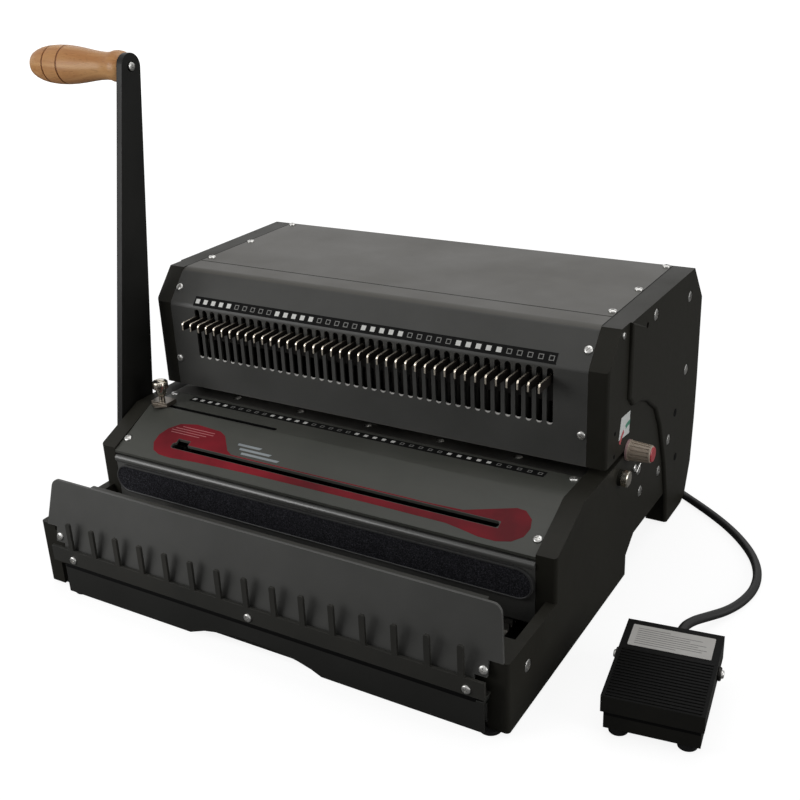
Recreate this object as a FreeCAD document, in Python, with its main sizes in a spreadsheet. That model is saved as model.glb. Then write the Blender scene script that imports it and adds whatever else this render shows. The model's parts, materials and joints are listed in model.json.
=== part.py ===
"""Desk binding machine: electric wire punch, lever-driven wire closer and foot pedal.

Millimetres, +X to the machine's right, +Y to its back, +Z up. The origin is the centre of the
underside of the base pan. Every outline below is drawn with Y measured back from the front of the
side frames, and each piece is then placed half a base depth forward.
"""
import FreeCAD, Part
import Sketcher
import math
import os
import re

Vector = FreeCAD.Vector

SIZES = {
    # Overall and general
    "inner_width": 389.0, "side_thick": 15.5, "side_step": 3.0, "base_depth": 217.0,
    "foot_height": 3.0, "sheet": 2.0, "play": 0.3, "fit": 0.05, "seam_gap": 0.2,
    # Side frame outline, front to back
    "well_top": 55.0, "well_front": 27.0, "bed_front": 76.0, "bed_front_top": 89.0,
    "bed_kink": 124.0, "bed_top": 112.0, "throat_back": 204.0, "head_low": 117.0,
    "head_front": 165.5, "brow_level": 193.0, "brow_back": 188.5, "seam_setback": 23.0, "head_top": 219.0,
    "head_rear": 352.0, "bevel_level": 187.0, "frame_rear": 379.0, "cover_rear": 375.0,
    "waist_level": 109.0, "hip_level": 73.0, "hip_back": 378.0, "heel_level": 33.0,
    "heel_back": 374.0, "toe_level": 4.0, "toe_back": 362.0, "leg_back": 352.0,
    "leg_front": 312.0, "arch_level": 30.0, "arch_front": 234.0, "base_heel": 18.0,
    # Raised rear panel of the side frame
    "panel_front": 205.0, "panel_turn": 150.0, "panel_shelf": 141.0, "panel_shelf_back": 246.0,
    "panel_mid_back": 282.0, "panel_mid": 105.0, "panel_low_back": 299.0, "panel_low": 63.0,
    "panel_foot_back": 309.0, "panel_foot": 25.0,
    # Pocket, lugs and ledges inside the side frame
    "pocket_depth": 7.5, "pocket_floor": 12.0, "lug_reach": 10.0, "lug_depth": 12.0,
    "lug_low": 20.0, "lug_high": 50.0, "ledge_thick": 3.0, "ledge_front": 215.0,
    "ledge_back": 345.0, "post_low": 130.0, "edge_round": 3.0,
    # Side bolts
    "bolt_recess": 5.0, "bolt_sunk": 1.6, "bolt_head": 4.6, "bolt_shank": 2.5,
    "bolt_length": 9.0, "pin_hole": 2.4,
    # Punch pins, tabs and slots
    "pin_pitch": 25.4 / 3, "pin_count": 40, "tab_set": 5, "pin_radius": 2.0, "pin_back": 184.0,
    "pin_low": 119.0, "pin_high": 189.7, "pin_hole_play": 0.1, "slot_width": 5.3,
    "slot_low": 145.5, "slot_high": 190.5, "tab_thick": 1.5, "tab_low": 177.8,
    "tab_high": 185.0, "tab_reach": 20.0, "tab_corner": 2.5,
    # Punch guide, die and their rods
    "plate_back": 197.5, "guide_front": 168.0, "guide_high": 125.0, "die_low": 100.0,
    "bed_rear": 157.5, "rod_radius": 6.0, "rod_gap": 16.5, "rod_back": 192.0,
    "rod_top": 212.0,
    # Ram and its yokes
    "ram_gap": 6.5, "ram_front": 176.0, "ram_back": 208.0, "ram_low": 160.0,
    "ram_high": 192.0, "yoke_gap": 44.5, "yoke_thick": 10.0, "yoke_bar": 8.0,
    "yoke_play": 2.4, "crank_throw": 10.0, "crank_radius": 16.0,
    # Drive shaft, gear and motor
    "drive_back": 262.0, "drive_level": 165.0, "drive_radius": 8.0, "bush_wall": 4.0,
    "bore_depth": 10.0, "gear_module": 1.5, "gear_teeth": 60, "pinion_teeth": 15,
    "gear_gap": 28.5, "gear_width": 12.0, "motor_side": 43.1, "motor_radius": 38.0,
    "motor_length": 186.0, "motor_gap": 40.0, "motor_foot": 30.0, "motor_shaft": 6.0,
    "floor_thick": 3.0,
    # Wire closer
    "closer_back": 118.0, "closer_level": 52.0, "closer_radius": 8.0, "closer_module": 2.0,
    "closer_teeth": 24, "rack_gap": 28.5, "rack_width": 10.0, "rack_low": 16.0,
    "rack_front": 24.0, "rack_back": 150.0, "rack_teeth_front": 70.0, "bar_gap": 14.5,
    "bar_thick": 10.0, "bar_low": 56.0, "bar_high": 78.0,
    # Lever and grip
    "lever_length": 343.8, "lever_lean": 9.5, "lever_root": 21.5, "lever_tip": 11.0,
    "lever_thick": 6.0, "lever_gap": 2.3, "grip_length": 106.5, "grip_bolt": 4.0,
    "cap_thick": 4.0,
    # Wire bed
    "roll_radius": 3.4, "roll_level": 81.6, "panel_bottom": 34.0, "panel_thick": 2.5,
    "strip_gap": 1.0, "strip_low": 53.0, "strip_high": 78.0, "strip_thick": 3.0,
    "wire_slot_left": -144.0, "wire_slot_right": 159.0, "wire_slot_back": 92.5,
    "wire_slot_width": 5.0, "notch_length": 15.0, "notch_depth": 6.5,
    "guide_slot_lead": 3.0, "guide_slot_right": -61.0, "guide_slot_back": 129.0,
    "guide_slot_width": 4.0,
    # Side guide and thumb screw
    "guide_gap": 10.5, "guide_half": 9.0, "guide_block_high": 116.0, "guide_block_back": 137.0,
    "thumb_high": 134.5, "thumb_neck": 127.0, "thumb_radius": 6.5,
    # Front: pan, flap, comb and skirt
    "pan_thick": 3.0, "flap_shift": 3.7, "flap_inset": 6.5, "flap_taper": 5.2, "flap_bend": 57.0,
    "flap_top": 94.0, "flap_lean": 8.5, "flap_foot": 34.0, "tongue_inset": 1.4, "foot_inset_side": 10.5,
    "flap_lug": 44.0, "flap_corner": 7.0, "comb_left_gap": 3.5, "comb_right_lap": 2.7,
    "comb_front": 9.0, "comb_thick": 2.2, "comb_flange": 1.5, "comb_low": 28.8, "comb_high": 42.1,
    "finger_left_gap": 25.3, "finger_right_gap": 14.54, "finger_count": 15, "finger_wide": 4.4,
    "finger_high": 66.0, "skirt_left_gap": 15.5, "skirt_right_lap": 1.8, "skirt_flange": 27.1,
    "skirt_low": 2.3,
    "arch_half": 60.0, "arch_centre": 8.0, "arch_rise": 11.5,
    # Marks, screws and feet
    "mark_margin": 3.9, "mark_thick": 0.25, "mark_from": 0.02, "mark_to": 0.28,
    "lower_mark_front": 146.0, "lower_mark_back": 154.0, "screw_head": 3.4, "screw_rise": 1.8,
    "screw_shank": 1.5, "screw_length": 6.0, "screw_gap": 4.2, "foot_radius": 8.0,
    "front_foot_back": 3.5, "rear_foot_back": 333.0, "foot_inset": 8.0, "front_foot_out": 0.5,
    "front_foot_in": 19.0,
    # Margin gauge and knobs
    "margin_back": 211.0, "margin_level": 114.5, "margin_radius": 4.0, "margin_throw": 2.0,
    "margin_disc": 6.5, "margin_gap": 44.5, "gauge_front": 191.0, "gauge_depth": 6.0,
    "gauge_gap": 14.5, "knob_length": 19.2, "knob_root": 8.7, "knob_tip": 7.5,
    "lock_back": 195.5, "lock_level": 98.0, "lock_radius": 6.5, "lock_stem": 3.0,
    "lock_collar": 2.0, "lock_length": 5.5,
    # Chip tray
    "tray_gap": 44.5, "tray_front": 90.0, "tray_high": 28.0, "tray_wall": 1.6,
    # Rear panel fittings
    "inlet_side": 130.0, "inlet_level": 80.0, "inlet_half": 15.0, "inlet_rise": 11.0,
    "switch_side": 92.0, "switch_half": 7.0, "switch_rise": 10.0, "gland_side": 97.3,
    "gland_level": 46.0, "gland_radius": 6.0, "gland_length": 11.0, "vent_left": -60.0,
    "vent_level": 120.0, "vent_height": 40.0, "vent_width": 4.0, "vent_pitch": 11.0,
    "vent_count": 12,
    # Foot pedal, in its own frame
    "pedal_side": 287.4, "pedal_back": 77.3, "pedal_turn": 8.0, "pedal_half": 33.0,
    "pedal_reach": 43.5, "pedal_top": 32.0, "pedal_skin": 1.2, "pedal_flank": 14.0,
    "pedal_lip": 17.0, "tray_side": 31.2, "tray_reach": 41.3, "tray_tail": 42.0,
    "pedal_low": 3.0, "pedal_rim": 22.0, "pivot_back": 14.5, "pivot_level": 21.5,
    "pivot_radius": 2.5, "pivot_head": 4.8, "pivot_ear": 5.2, "pedal_foot": 6.8, "pedal_foot_side": 22.3,
    "pedal_foot_reach": 34.4, "entry_radius": 5.5, "entry_level": 14.0, "entry_length": 5.0,
    # Pedal cord
    "cord_diameter": 7.0,
}

PLACES = {
    "half_in": "inner_width / 2",
    "half_out": "inner_width / 2 + side_thick",
    "half_far": "inner_width / 2 + side_thick + side_step",
    "cover_half": "inner_width / 2 - seam_gap",
    "facet_run": "brow_back - head_front",
    "facet_rise": "head_top - brow_level",
    "slope_run": "bed_kink - bed_front",
    "slope_rise": "bed_top - bed_front_top",
    "pin_first": "-pin_pitch * (pin_count - 1) / 2",
    "crank_top": "drive_level + crank_throw",
    "closer_pitch_radius": "closer_module * closer_teeth / 2",
    "rack_pitch_level": "closer_level - closer_pitch_radius",
    "rack_tip_level": "rack_pitch_level + closer_module",
    "floor_top": "arch_level + 1 + floor_thick",
    "lever_near": "half_out + lever_gap",
    "lever_far": "half_out + lever_gap + lever_thick",
    "knob_near": "half_out + play",
    "gear_distance": "gear_module * (gear_teeth + pinion_teeth) / 2",
    "motor_back": "drive_back + motor_side",
    "seam_line": "brow_back + seam_setback",
    "ram_half": "half_in - ram_gap",
    "rod_side": "half_in - rod_gap",
    "yoke_side": "half_in - yoke_gap",
    "gear_near": "half_in - gear_gap",
    "motor_right": "gear_near - motor_gap",
    "motor_left": "motor_right - motor_length",
    "rack_near": "half_in - rack_gap",
    "bar_half": "half_in - bar_gap",
    "strip_half": "half_in - strip_gap",
    "guide_side": "half_in - guide_gap",
    "guide_slot_left": "-guide_side - guide_slot_lead",
    "flap_half": "half_out - flap_inset",
    "flap_top_half": "flap_half - flap_taper",
    "tongue_half": "half_in - tongue_inset",
    "foot_half": "half_in - foot_inset_side",
    "comb_back": "comb_front - comb_thick",
    "flap_pitch": "(flap_lean - sheet + comb_back) / (flap_top - flap_foot)",
    "comb_left": "half_in - comb_left_gap",
    "comb_right": "half_in + comb_right_lap",
    "finger_first": "half_in - finger_left_gap",
    "finger_last": "half_in - finger_right_gap",
    "finger_pitch": "(finger_first + finger_last) / (finger_count - 1)",
    "skirt_left": "half_in - skirt_left_gap",
    "skirt_right": "half_in + skirt_right_lap",
    "mark_half": "mark_margin - pin_first",
    "screw_side": "half_in - screw_gap",
    "foot_side": "half_out - foot_inset",
    "front_foot_right": "half_in + front_foot_out",
    "front_foot_left": "half_in - front_foot_in",
    "margin_side": "half_in - margin_gap",
    "gauge_half": "half_in - gauge_gap",
    "tray_half": "half_in - tray_gap",
}

doc = FreeCAD.newDocument("binding_machine")
sheet = doc.addObject("Spreadsheet::Sheet", "Sizes")
for row, (alias, amount) in enumerate(SIZES.items(), start=1):
    sheet.set(f"A{row}", repr(amount))
    sheet.setAlias(f"A{row}", alias)
doc.recompute()

WORD = re.compile(r"[a-z_]+")
known_numbers = {}


def bound(text):
    """Return an expression in which every named size points at its sheet cell."""
    def swap(match):
        word = match.group(0)
        if word in PLACES:
            return "(" + bound(PLACES[word]) + ")"
        return "Sizes." + word if word in SIZES else word
    return WORD.sub(swap, str(text))


def number(text):
    """Return the present value of an expression of named sizes."""
    key = str(text)
    if key not in known_numbers:
        known_numbers[key] = float(sheet.evalExpression(bound(key)))
    return known_numbers[key]


def span(side, near, far):
    """Return the low and high X of a stretch on the right (side 1) or left (side -1)."""
    return (near, far) if side > 0 else (f"-({far})", f"-({near})")


# Bodies, sketches and features

pieces = []


def place(piece, side="0", back="-base_depth / 2", level="0", axis=Vector(0, 0, 1), turn="0"):
    """Bind a piece's placement to the sheet."""
    piece.Placement = FreeCAD.Placement(Vector(0, 0, 0), FreeCAD.Rotation(axis, number(turn)))
    for part_of, text in (("Base.x", side), ("Base.y", back), ("Base.z", level)):
        piece.setExpression("Placement." + part_of, bound(text))
    if turn != "0":
        piece.setExpression("Placement.Rotation.Angle", bound(turn))


def new_body(label, **where):
    body = doc.addObject("PartDesign::Body", label)
    body.Label = label
    body.AllowCompound = True
    place(body, **where)
    pieces.append(body)
    return body


def new_feature(label, shape, **where):
    piece = doc.addObject("Part::Feature", label)
    piece.Label = label
    piece.Shape = shape
    place(piece, **where)
    pieces.append(piece)
    return piece


def origin_item(body, role):
    return next(item for item in body.Origin.OriginFeatures if item.Role == role)


def new_sketch(body, plane, level):
    """Start a sketch on one of the body's planes, moved along the plane's axis to level."""
    sketch = body.newObject("Sketcher::SketchObject", "Sketch")
    sketch.AttachmentSupport = [(origin_item(body, plane + "_Plane"), "")]
    sketch.MapMode = "FlatFace"
    sign = "-" if plane == "XZ" else ""
    sketch.setExpression("AttachmentOffset.Base.z", f"{sign}({bound(level)})")
    return sketch


def pin_point(sketch, item, vertex, spot):
    """Hold one point of a sketch at a place given by two expressions."""
    for kind, text in zip(("DistanceX", "DistanceY"), spot):
        rule = Sketcher.Constraint(kind, -1, 1, item, vertex, number(text))
        sketch.setExpression(f"Constraints[{sketch.addConstraint(rule)}]", bound(text))


def draw_outline(sketch, points):
    spots = [Vector(number(x), number(y), 0) for x, y in points]
    count = len(spots)
    lines = [Part.LineSegment(spots[i], spots[(i + 1) % count]) for i in range(count)]
    first = sketch.addGeometry(lines, False)[0]
    joins = [Sketcher.Constraint("Coincident", first + i, 2, first + (i + 1) % count, 1)
             for i in range(count)]
    sketch.addConstraint(joins)
    for i, spot in enumerate(points):
        pin_point(sketch, first + i, 1, spot)


def outline(*points):
    """Return a drawing of one closed outline."""
    return lambda sketch: draw_outline(sketch, points)


def box(x_low, x_high, y_low, y_high):
    """Return a drawing of one rectangle."""
    return outline((x_low, y_low), (x_high, y_low), (x_high, y_high), (x_low, y_high))


def circles(centres, radius):
    """Return a drawing of equal circles."""
    def draw(sketch):
        for spot in centres:
            centre = Vector(number(spot[0]), number(spot[1]), 0)
            item = sketch.addGeometry(Part.Circle(centre, Vector(0, 0, 1), number(radius)), False)
            rule = Sketcher.Constraint("Radius", item, number(radius))
            sketch.setExpression(f"Constraints[{sketch.addConstraint(rule)}]", bound(radius))
            pin_point(sketch, item, 3, spot)
    return draw


def oblong(start, end, width):
    """Return a drawing of a slot with round ends; start and end are its arc centres."""
    def draw(sketch):
        first, last = (Vector(number(x), number(y), 0) for x, y in (start, end))
        reach = number(width) / 2
        along = (last - first).normalize()
        out = Vector(-along.y, along.x, 0) * reach
        arc_a = Part.Arc(first + out, first - along * reach, first - out)
        arc_b = Part.Arc(last - out, last + along * reach, last + out)
        items = sketch.addGeometry([arc_a, Part.LineSegment(first - out, last - out), arc_b,
                                    Part.LineSegment(last + out, first + out)], False)
        a, low, b, high = items
        sketch.addConstraint([Sketcher.Constraint("Tangent", a, 2, low, 1),
                              Sketcher.Constraint("Tangent", low, 2, b, 1),
                              Sketcher.Constraint("Tangent", b, 2, high, 1),
                              Sketcher.Constraint("Tangent", high, 2, a, 1)])
        rule = Sketcher.Constraint("Radius", a, reach)
        half = f"({width}) / 2"
        sketch.setExpression(f"Constraints[{sketch.addConstraint(rule)}]", bound(half))
        pin_point(sketch, a, 3, start)
        pin_point(sketch, b, 3, end)
    return draw


def extrude(body, plane, draw, low, high, cut=False):
    """Add or cut a straight stretch of an outline between two levels along the plane's axis."""
    against = plane == "XZ"
    sketch = new_sketch(body, plane, high if against != cut else low)
    draw(sketch)
    kind = "Pocket" if cut else "Pad"
    feature = body.newObject("PartDesign::" + kind, kind)
    feature.Profile = sketch
    feature.setExpression("Length", bound(f"({high}) - ({low})"))
    body.Tip = feature
    return feature


def drill(body, plane, centres, radius, low, high):
    return extrude(body, plane, circles(centres, radius), low, high, cut=True)


def turn(body, plane, level, axis, points, cut=False):
    """Turn an outline a full circle about an axis given by two points of the sketch."""
    sketch = new_sketch(body, plane, level)
    draw_outline(sketch, points)
    ends = [Vector(number(x), number(y), 0) for x, y in axis]
    item = sketch.addGeometry(Part.LineSegment(*ends), True)
    pin_point(sketch, item, 1, axis[0])
    pin_point(sketch, item, 2, axis[1])
    kind = "Groove" if cut else "Revolution"
    feature = body.newObject("PartDesign::" + kind, kind)
    feature.Profile = sketch
    feature.ReferenceAxis = (sketch, ["Axis0"])
    feature.Angle = 360
    body.Tip = feature
    return feature


def repeat(body, features, length, count):
    """Repeat features along +X."""
    feature = body.newObject("PartDesign::LinearPattern", "Repeat")
    feature.Originals = features
    feature.Direction = (origin_item(body, "X_Axis"), [""])
    feature.setExpression("Length", bound(length))
    feature.setExpression("Occurrences", bound(count))
    body.Tip = feature
    return feature


def round_edges(body, radius, wanted):
    """Fillet the edges whose midpoints the test wanted() picks."""
    doc.recompute()
    base = body.Tip
    names = []
    for index, edge in enumerate(base.Shape.Edges, start=1):
        middle = edge.valueAt((edge.FirstParameter + edge.LastParameter) / 2)
        if wanted(middle, edge):
            names.append(f"Edge{index}")
    feature = body.newObject("PartDesign::Fillet", "Fillet")
    feature.Base = (base, names)
    feature.setExpression("Radius", bound(radius))
    body.Tip = feature
    return feature


def mirrored(centres):
    """Return each place with its twin on the other side of the machine."""
    return [(sign + f"({x})", y) for x, y in centres for sign in ("", "-")]


# Side frames

FRAME = [("0", "0"), ("base_depth", "0"), ("base_depth", "base_heel"),
         ("arch_front", "arch_level"), ("leg_front", "arch_level"), ("leg_front", "0"),
         ("leg_back", "0"), ("toe_back", "toe_level"), ("heel_back", "heel_level"),
         ("hip_back", "hip_level"), ("frame_rear", "waist_level"),
         ("frame_rear - 1", "bevel_level"), ("head_rear", "head_top"),
         ("brow_back", "head_top"), ("head_front", "brow_level"), ("head_front", "head_low"),
         ("throat_back", "head_low"), ("throat_back", "bed_top"), ("bed_kink", "bed_top"),
         ("bed_front", "bed_front_top + 2"), ("bed_front", "well_top"), ("0", "well_top")]

PANEL = [("panel_front", "head_top"), ("panel_front", "panel_turn + 9"),
         ("panel_front + 9", "panel_turn"), ("panel_front + 26", "panel_turn - 3"),
         ("panel_shelf_back", "panel_shelf"), ("panel_mid_back - 13", "panel_mid + 20"),
         ("panel_mid_back", "panel_mid"), ("panel_low_back", "panel_low"),
         ("panel_foot_back", "panel_foot"), ("leg_front", "0"), ("leg_back", "0"),
         ("toe_back", "toe_level"), ("heel_back", "heel_level"), ("hip_back", "hip_level"),
         ("frame_rear", "waist_level"), ("frame_rear - 1", "bevel_level"),
         ("head_rear", "head_top")]

# Bolt places as back and level: on the raised panel, then on the front face
PANEL_BOLTS = [("head_rear - 9", "head_top - 22"), ("panel_front + 51", "head_top - 10"),
               ("head_rear - 8", "waist_level + 23"), ("panel_low_back + 6", "panel_low + 20")]
FACE_BOLTS = [("panel_low_back - 7", "panel_low - 4"), ("arch_front + 12", "panel_low - 1"),
              ("arch_front + 7", "hip_level + 11"), ("well_front + 3", "well_top - 20")]
PANEL_HOLES = [("panel_front + 31", "head_top - 12"), ("panel_low_back + 20", "panel_mid - 3"),
               ("panel_low_back + 27", "panel_low - 6")]


def side_frame(side):
    """One thick side frame: foot, well, wire bed flank, throat, head flank and rear leg."""
    body = new_body("right_side_frame" if side > 0 else "left_side_frame")
    near, out, far = "half_in", "half_out", "half_far"
    extrude(body, "YZ", outline(*FRAME), *span(side, near, out))
    extrude(body, "YZ", outline(*PANEL), *span(side, out, far))
    reach = f"{near} - lug_reach"
    extrude(body, "YZ", box("0", "lug_depth", "lug_low", "lug_high"), *span(side, reach, near))
    low = "flap_lug + 0.5"
    extrude(body, "YZ", outline(("0", low), ("0", "lug_high"),
                                (flap_face("lug_high") + " + sheet", "lug_high"),
                                (flap_face(low) + " + sheet", low)),
            *span(side, reach, near if side > 0 else reach + " + 4.5"))
    ledge_top = "head_top - sheet"
    extrude(body, "YZ", box("ledge_front", "ledge_back", ledge_top + " - ledge_thick", ledge_top),
            *span(side, reach, near))
    post_front = "head_front + sheet"
    extrude(body, "YZ", box(post_front, post_front + " + ledge_thick", "post_low",
                            "brow_level - 3"), *span(side, reach, near))
    shelf = "bed_top - sheet"
    extrude(body, "YZ", box("guide_slot_back + guide_slot_width + 3", "bed_rear", shelf + " - ledge_thick", shelf),
            *span(side, reach, near))
    extrude(body, "YZ", box("well_front", "bed_front", "pocket_floor", "well_top + 1"),
            *span(side, near, near + " + pocket_depth"), cut=True)
    drill(body, "YZ", [("drive_back", "drive_level")], "drive_radius + bush_wall",
          *span(side, near, near + " + bore_depth"))
    drill(body, "YZ", [("closer_back", "closer_level")], "closer_radius + bush_wall",
          *span(side, near, out if side < 0 else near + " + bore_depth"))
    drill(body, "YZ", [("margin_back", "margin_level")], "margin_radius + fit",
          *span(side, near, out if side > 0 else near + " + bore_depth"))
    for face, bolts in ((far, PANEL_BOLTS), (out, FACE_BOLTS)):
        drill(body, "YZ", bolts, "bolt_recess", *span(side, face + " - bolt_sunk", face))
        drill(body, "YZ", bolts, "bolt_shank", *span(side, face + " - bolt_length", face))
    drill(body, "YZ", PANEL_HOLES, "pin_hole", *span(side, far + " - bolt_length", far))
    ledge_screws = [("screw_side", back) for back in TOP_SCREW_BACKS]
    if side < 0:
        ledge_screws = [("-screw_side", back) for back in TOP_SCREW_BACKS]
    drill(body, "XY", ledge_screws, "screw_shank", "head_top - 8", "head_top")
    if side > 0:
        extrude(body, "YZ", circles([("lock_back", "lock_level")], "lock_radius"),
                out, out + " + lock_collar")
        drill(body, "YZ", [("lock_back", "lock_level")], "lock_stem + fit",
              out + " - bolt_length", out + " + lock_collar")
    edge_x = side * number("half_out")
    round_edges(body, "edge_round", lambda spot, edge: abs(spot.x - edge_x) < 0.01 and (
        (abs(spot.y) < 0.01 and spot.z < number("well_top")) or
        (abs(spot.y - number("bed_front")) < 0.01 and spot.z > number("well_top")) or
        (abs(spot.y - number("head_front")) < 0.01 and spot.z > number("head_low"))))


TOP_SCREW_BACKS = ["head_rear - 5", "ledge_front + 64.5", "ledge_front + 7.5"]


def side_bolts():
    """Recessed bolts of both side frames."""
    body = new_body("side_bolts")
    for side in (1, -1):
        for face, bolts in (("half_far", PANEL_BOLTS), ("half_out", FACE_BOLTS)):
            rim = f"{face} - 0.4"
            extrude(body, "YZ", circles(bolts, "bolt_head"),
                    *span(side, f"{face} - bolt_sunk", rim))
            extrude(body, "YZ", circles(bolts, "bolt_shank - fit"),
                    *span(side, f"{face} - bolt_length + 0.5", f"{face} - bolt_sunk"))


def shaft_bushes():
    """Plain bushes of the drive shaft and the closer shaft."""
    body = new_body("shaft_bushes")
    seats = (("drive_back", "drive_level", "drive_radius", "half_in + bore_depth", 1),
             ("drive_back", "drive_level", "drive_radius", "half_in + bore_depth", -1),
             ("closer_back", "closer_level", "closer_radius", "half_in + bore_depth", 1),
             ("closer_back", "closer_level", "closer_radius", "half_out", -1))
    for back, level, radius, end, side in seats:
        where = span(side, "half_in", end)
        extrude(body, "YZ", circles([(back, level)], radius + " + bush_wall"), *where)
        drill(body, "YZ", [(back, level)], radius + " + fit", *where)


def feet():
    body = new_body("machine_feet")
    spots = mirrored([("foot_side", "rear_foot_back")])
    spots += [("front_foot_right", "front_foot_back"), ("-front_foot_left", "front_foot_back")]
    extrude(body, "XY", circles(spots, "foot_radius"), "-foot_height", "0")


# Base, wire bed and front

def base_pan():
    """Floor of the base with its rear corners and the two rack rests."""
    body = new_body("base_pan")
    tail = "base_depth - 2"
    extrude(body, "XY", box("-cover_half", "cover_half", "2", tail), "0", "pan_thick")
    for side in (1, -1):
        extrude(body, "XY", box(*span(side, "tray_half + 0.6", "cover_half"), tail + " - sheet", tail),
                "pan_thick", "arch_level")
        low, high = span(side, "rack_near - 2", "rack_near + rack_width + 2")
        extrude(body, "XY", box(low, high, "rack_teeth_front", "closer_back + 22"),
                "pan_thick", "rack_low - play")


def rear_floor():
    body = new_body("rear_floor")
    extrude(body, "XY", box("-cover_half", "cover_half", "base_depth + play", "cover_rear - sheet"),
            "arch_level + 1", "floor_top")


def bed_plate():
    """Folded grey plate that the wire lies on, with its wire slot and guide slot."""
    body = new_body("bed_plate")
    extrude(body, "YZ", outline(("bed_rear", "bed_top"), ("bed_kink", "bed_top"),
                                ("bed_front", "bed_front_top"),
                                ("bed_front", "bed_front_top - sheet * 1.1"),
                                ("bed_kink + 0.4", "bed_top - sheet"),
                                ("bed_rear", "bed_top - sheet")), "-cover_half", "cover_half")
    half = "wire_slot_width / 2"
    extrude(body, "XY", oblong((f"wire_slot_left + {half}", "wire_slot_back"),
                               (f"wire_slot_right - {half}", "wire_slot_back"),
                               "wire_slot_width"), "bed_front_top - 5", "bed_top", cut=True)
    extrude(body, "XY", box(f"wire_slot_left + {half}", "wire_slot_left + notch_length",
                            "wire_slot_back", "wire_slot_back + notch_depth"),
            "bed_front_top - 5", "bed_top", cut=True)
    half = "guide_slot_width / 2"
    extrude(body, "XY", oblong((f"guide_slot_left + {half}", "guide_slot_back"),
                               (f"guide_slot_right - {half}", "guide_slot_back"),
                               "guide_slot_width"), "bed_top - 5", "bed_top + 1", cut=True)
    drill(body, "XY", mirrored([("screw_side", "bed_rear - 5")]), "screw_shank",
          "bed_top - 5", "bed_top + 1")


def bed_front_panel():
    """Upright panel below the plate's front edge, with the rolled bead on top."""
    body = new_body("bed_front_panel")
    extrude(body, "YZ", box("bed_front", "bed_front + panel_thick", "panel_bottom", "roll_level"),
            "-cover_half", "cover_half")
    extrude(body, "YZ", circles([("bed_front + 1.5", "roll_level")], "roll_radius"),
            "-cover_half", "cover_half")


def grip_strip():
    """Textured strip with round ends, the fixed jaw of the closer."""
    body = new_body("grip_strip")
    radius = "(strip_high - strip_low) / 2"
    middle = "(strip_high + strip_low) / 2"
    extrude(body, "XZ", oblong((f"-strip_half + {radius}", middle),
                               (f"strip_half - {radius}", middle),
                               "strip_high - strip_low"), "bed_front - strip_thick", "bed_front")


def flap_face(level):
    """Depth of the flap's leaning front face at a level."""
    return f"(({level} - flap_foot) * flap_pitch - comb_back)"


def front_flap():
    """Sheet plate in front of the well, leaning back from a low foot behind the comb."""
    body = new_body("front_flap")
    rest = "comb_low + comb_flange"
    extrude(body, "YZ", outline(("-comb_back", rest), ("-comb_back + sheet", rest),
                                ("-comb_back + sheet", "flap_foot"), ("flap_lean", "flap_top"),
                                ("flap_lean - sheet", "flap_top"), ("-comb_back", "flap_foot")),
            "flap_shift - flap_half", "flap_shift + flap_half")
    for side in (1, -1):
        sign = "+" if side > 0 else "-"
        for inner, top in (("tongue_half", "well_top + 1"), ("foot_half", "flap_lug")):
            edges = (f"flap_shift {sign} {inner}", f"flap_shift {sign} (flap_half + 1)")
            low, high = edges if side > 0 else edges[::-1]
            extrude(body, "XZ", box(low, high, "comb_low", top), "-comb_front", "5", cut=True)
        extrude(body, "XZ", outline((f"flap_shift {sign} flap_half", "flap_bend"),
                                    (f"flap_shift {sign} (flap_half + 2)", "flap_bend"),
                                    (f"flap_shift {sign} (flap_half + 2)", "flap_top + 2"),
                                    (f"flap_shift {sign} flap_top_half", "flap_top + 2")),
                "-5", "flap_lean + 3", cut=True)
    drill(body, "XZ", FLAP_SCREWS, "screw_shank", "-comb_front", "1")
    round_edges(body, "flap_corner", lambda spot, edge: spot.z > number("flap_top") - 0.5
                and abs(abs(spot.x - number("flap_shift")) - number("flap_top_half")) < 1.5
                and edge.Length < 3 and abs(spot.y - number("flap_lean") + 1) < 0.4)


FLAP_SCREWS = [("-(screw_side - 4.9)", "lug_high - 1.5"), ("screw_side + 3.6", "lug_high - 1.5")]


def comb_bar():
    """Flat comb that holds the open wire, with a flange back to the frames along its foot."""
    body = new_body("comb_bar")
    extrude(body, "XY", box("-comb_left", "comb_right", "-comb_front", "-comb_back"),
            "comb_low", "comb_high")
    extrude(body, "XY", box("-comb_left", "comb_right", "-comb_front", "0"),
            "comb_low", "comb_low + comb_flange")
    left, right = "-finger_first - finger_wide / 2", "-finger_first + finger_wide / 2"
    finger = extrude(body, "XZ", outline((left, "comb_high - 1"), (left, "finger_high - 1.2"),
                                         (left + " + 0.7", "finger_high"),
                                         (right + " - 0.7", "finger_high"),
                                         (right, "finger_high - 1.2"), (right, "comb_high - 1")),
                     "-comb_front", "-comb_back")
    repeat(body, [finger], "finger_pitch * (finger_count - 1)", "finger_count")
    drill(body, "XZ", BAR_SCREWS, "screw_shank", "-comb_front - 1", "-comb_back")


BAR_SCREWS = [("-(comb_left - 22.5)", "comb_low + 4.8"), ("6.5", "comb_low + 4.8"),
              ("comb_right - 13.1", "comb_low + 4.8")]


ARCH = ((-1, -0.1), (1, -0.1), (1, 0), (0.86, 0.32), (0.67, 0.6), (0.38, 0.87), (0.06, 1),
        (-0.26, 0.92), (-0.57, 0.68), (-0.76, 0.48), (-1, 0))


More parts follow.
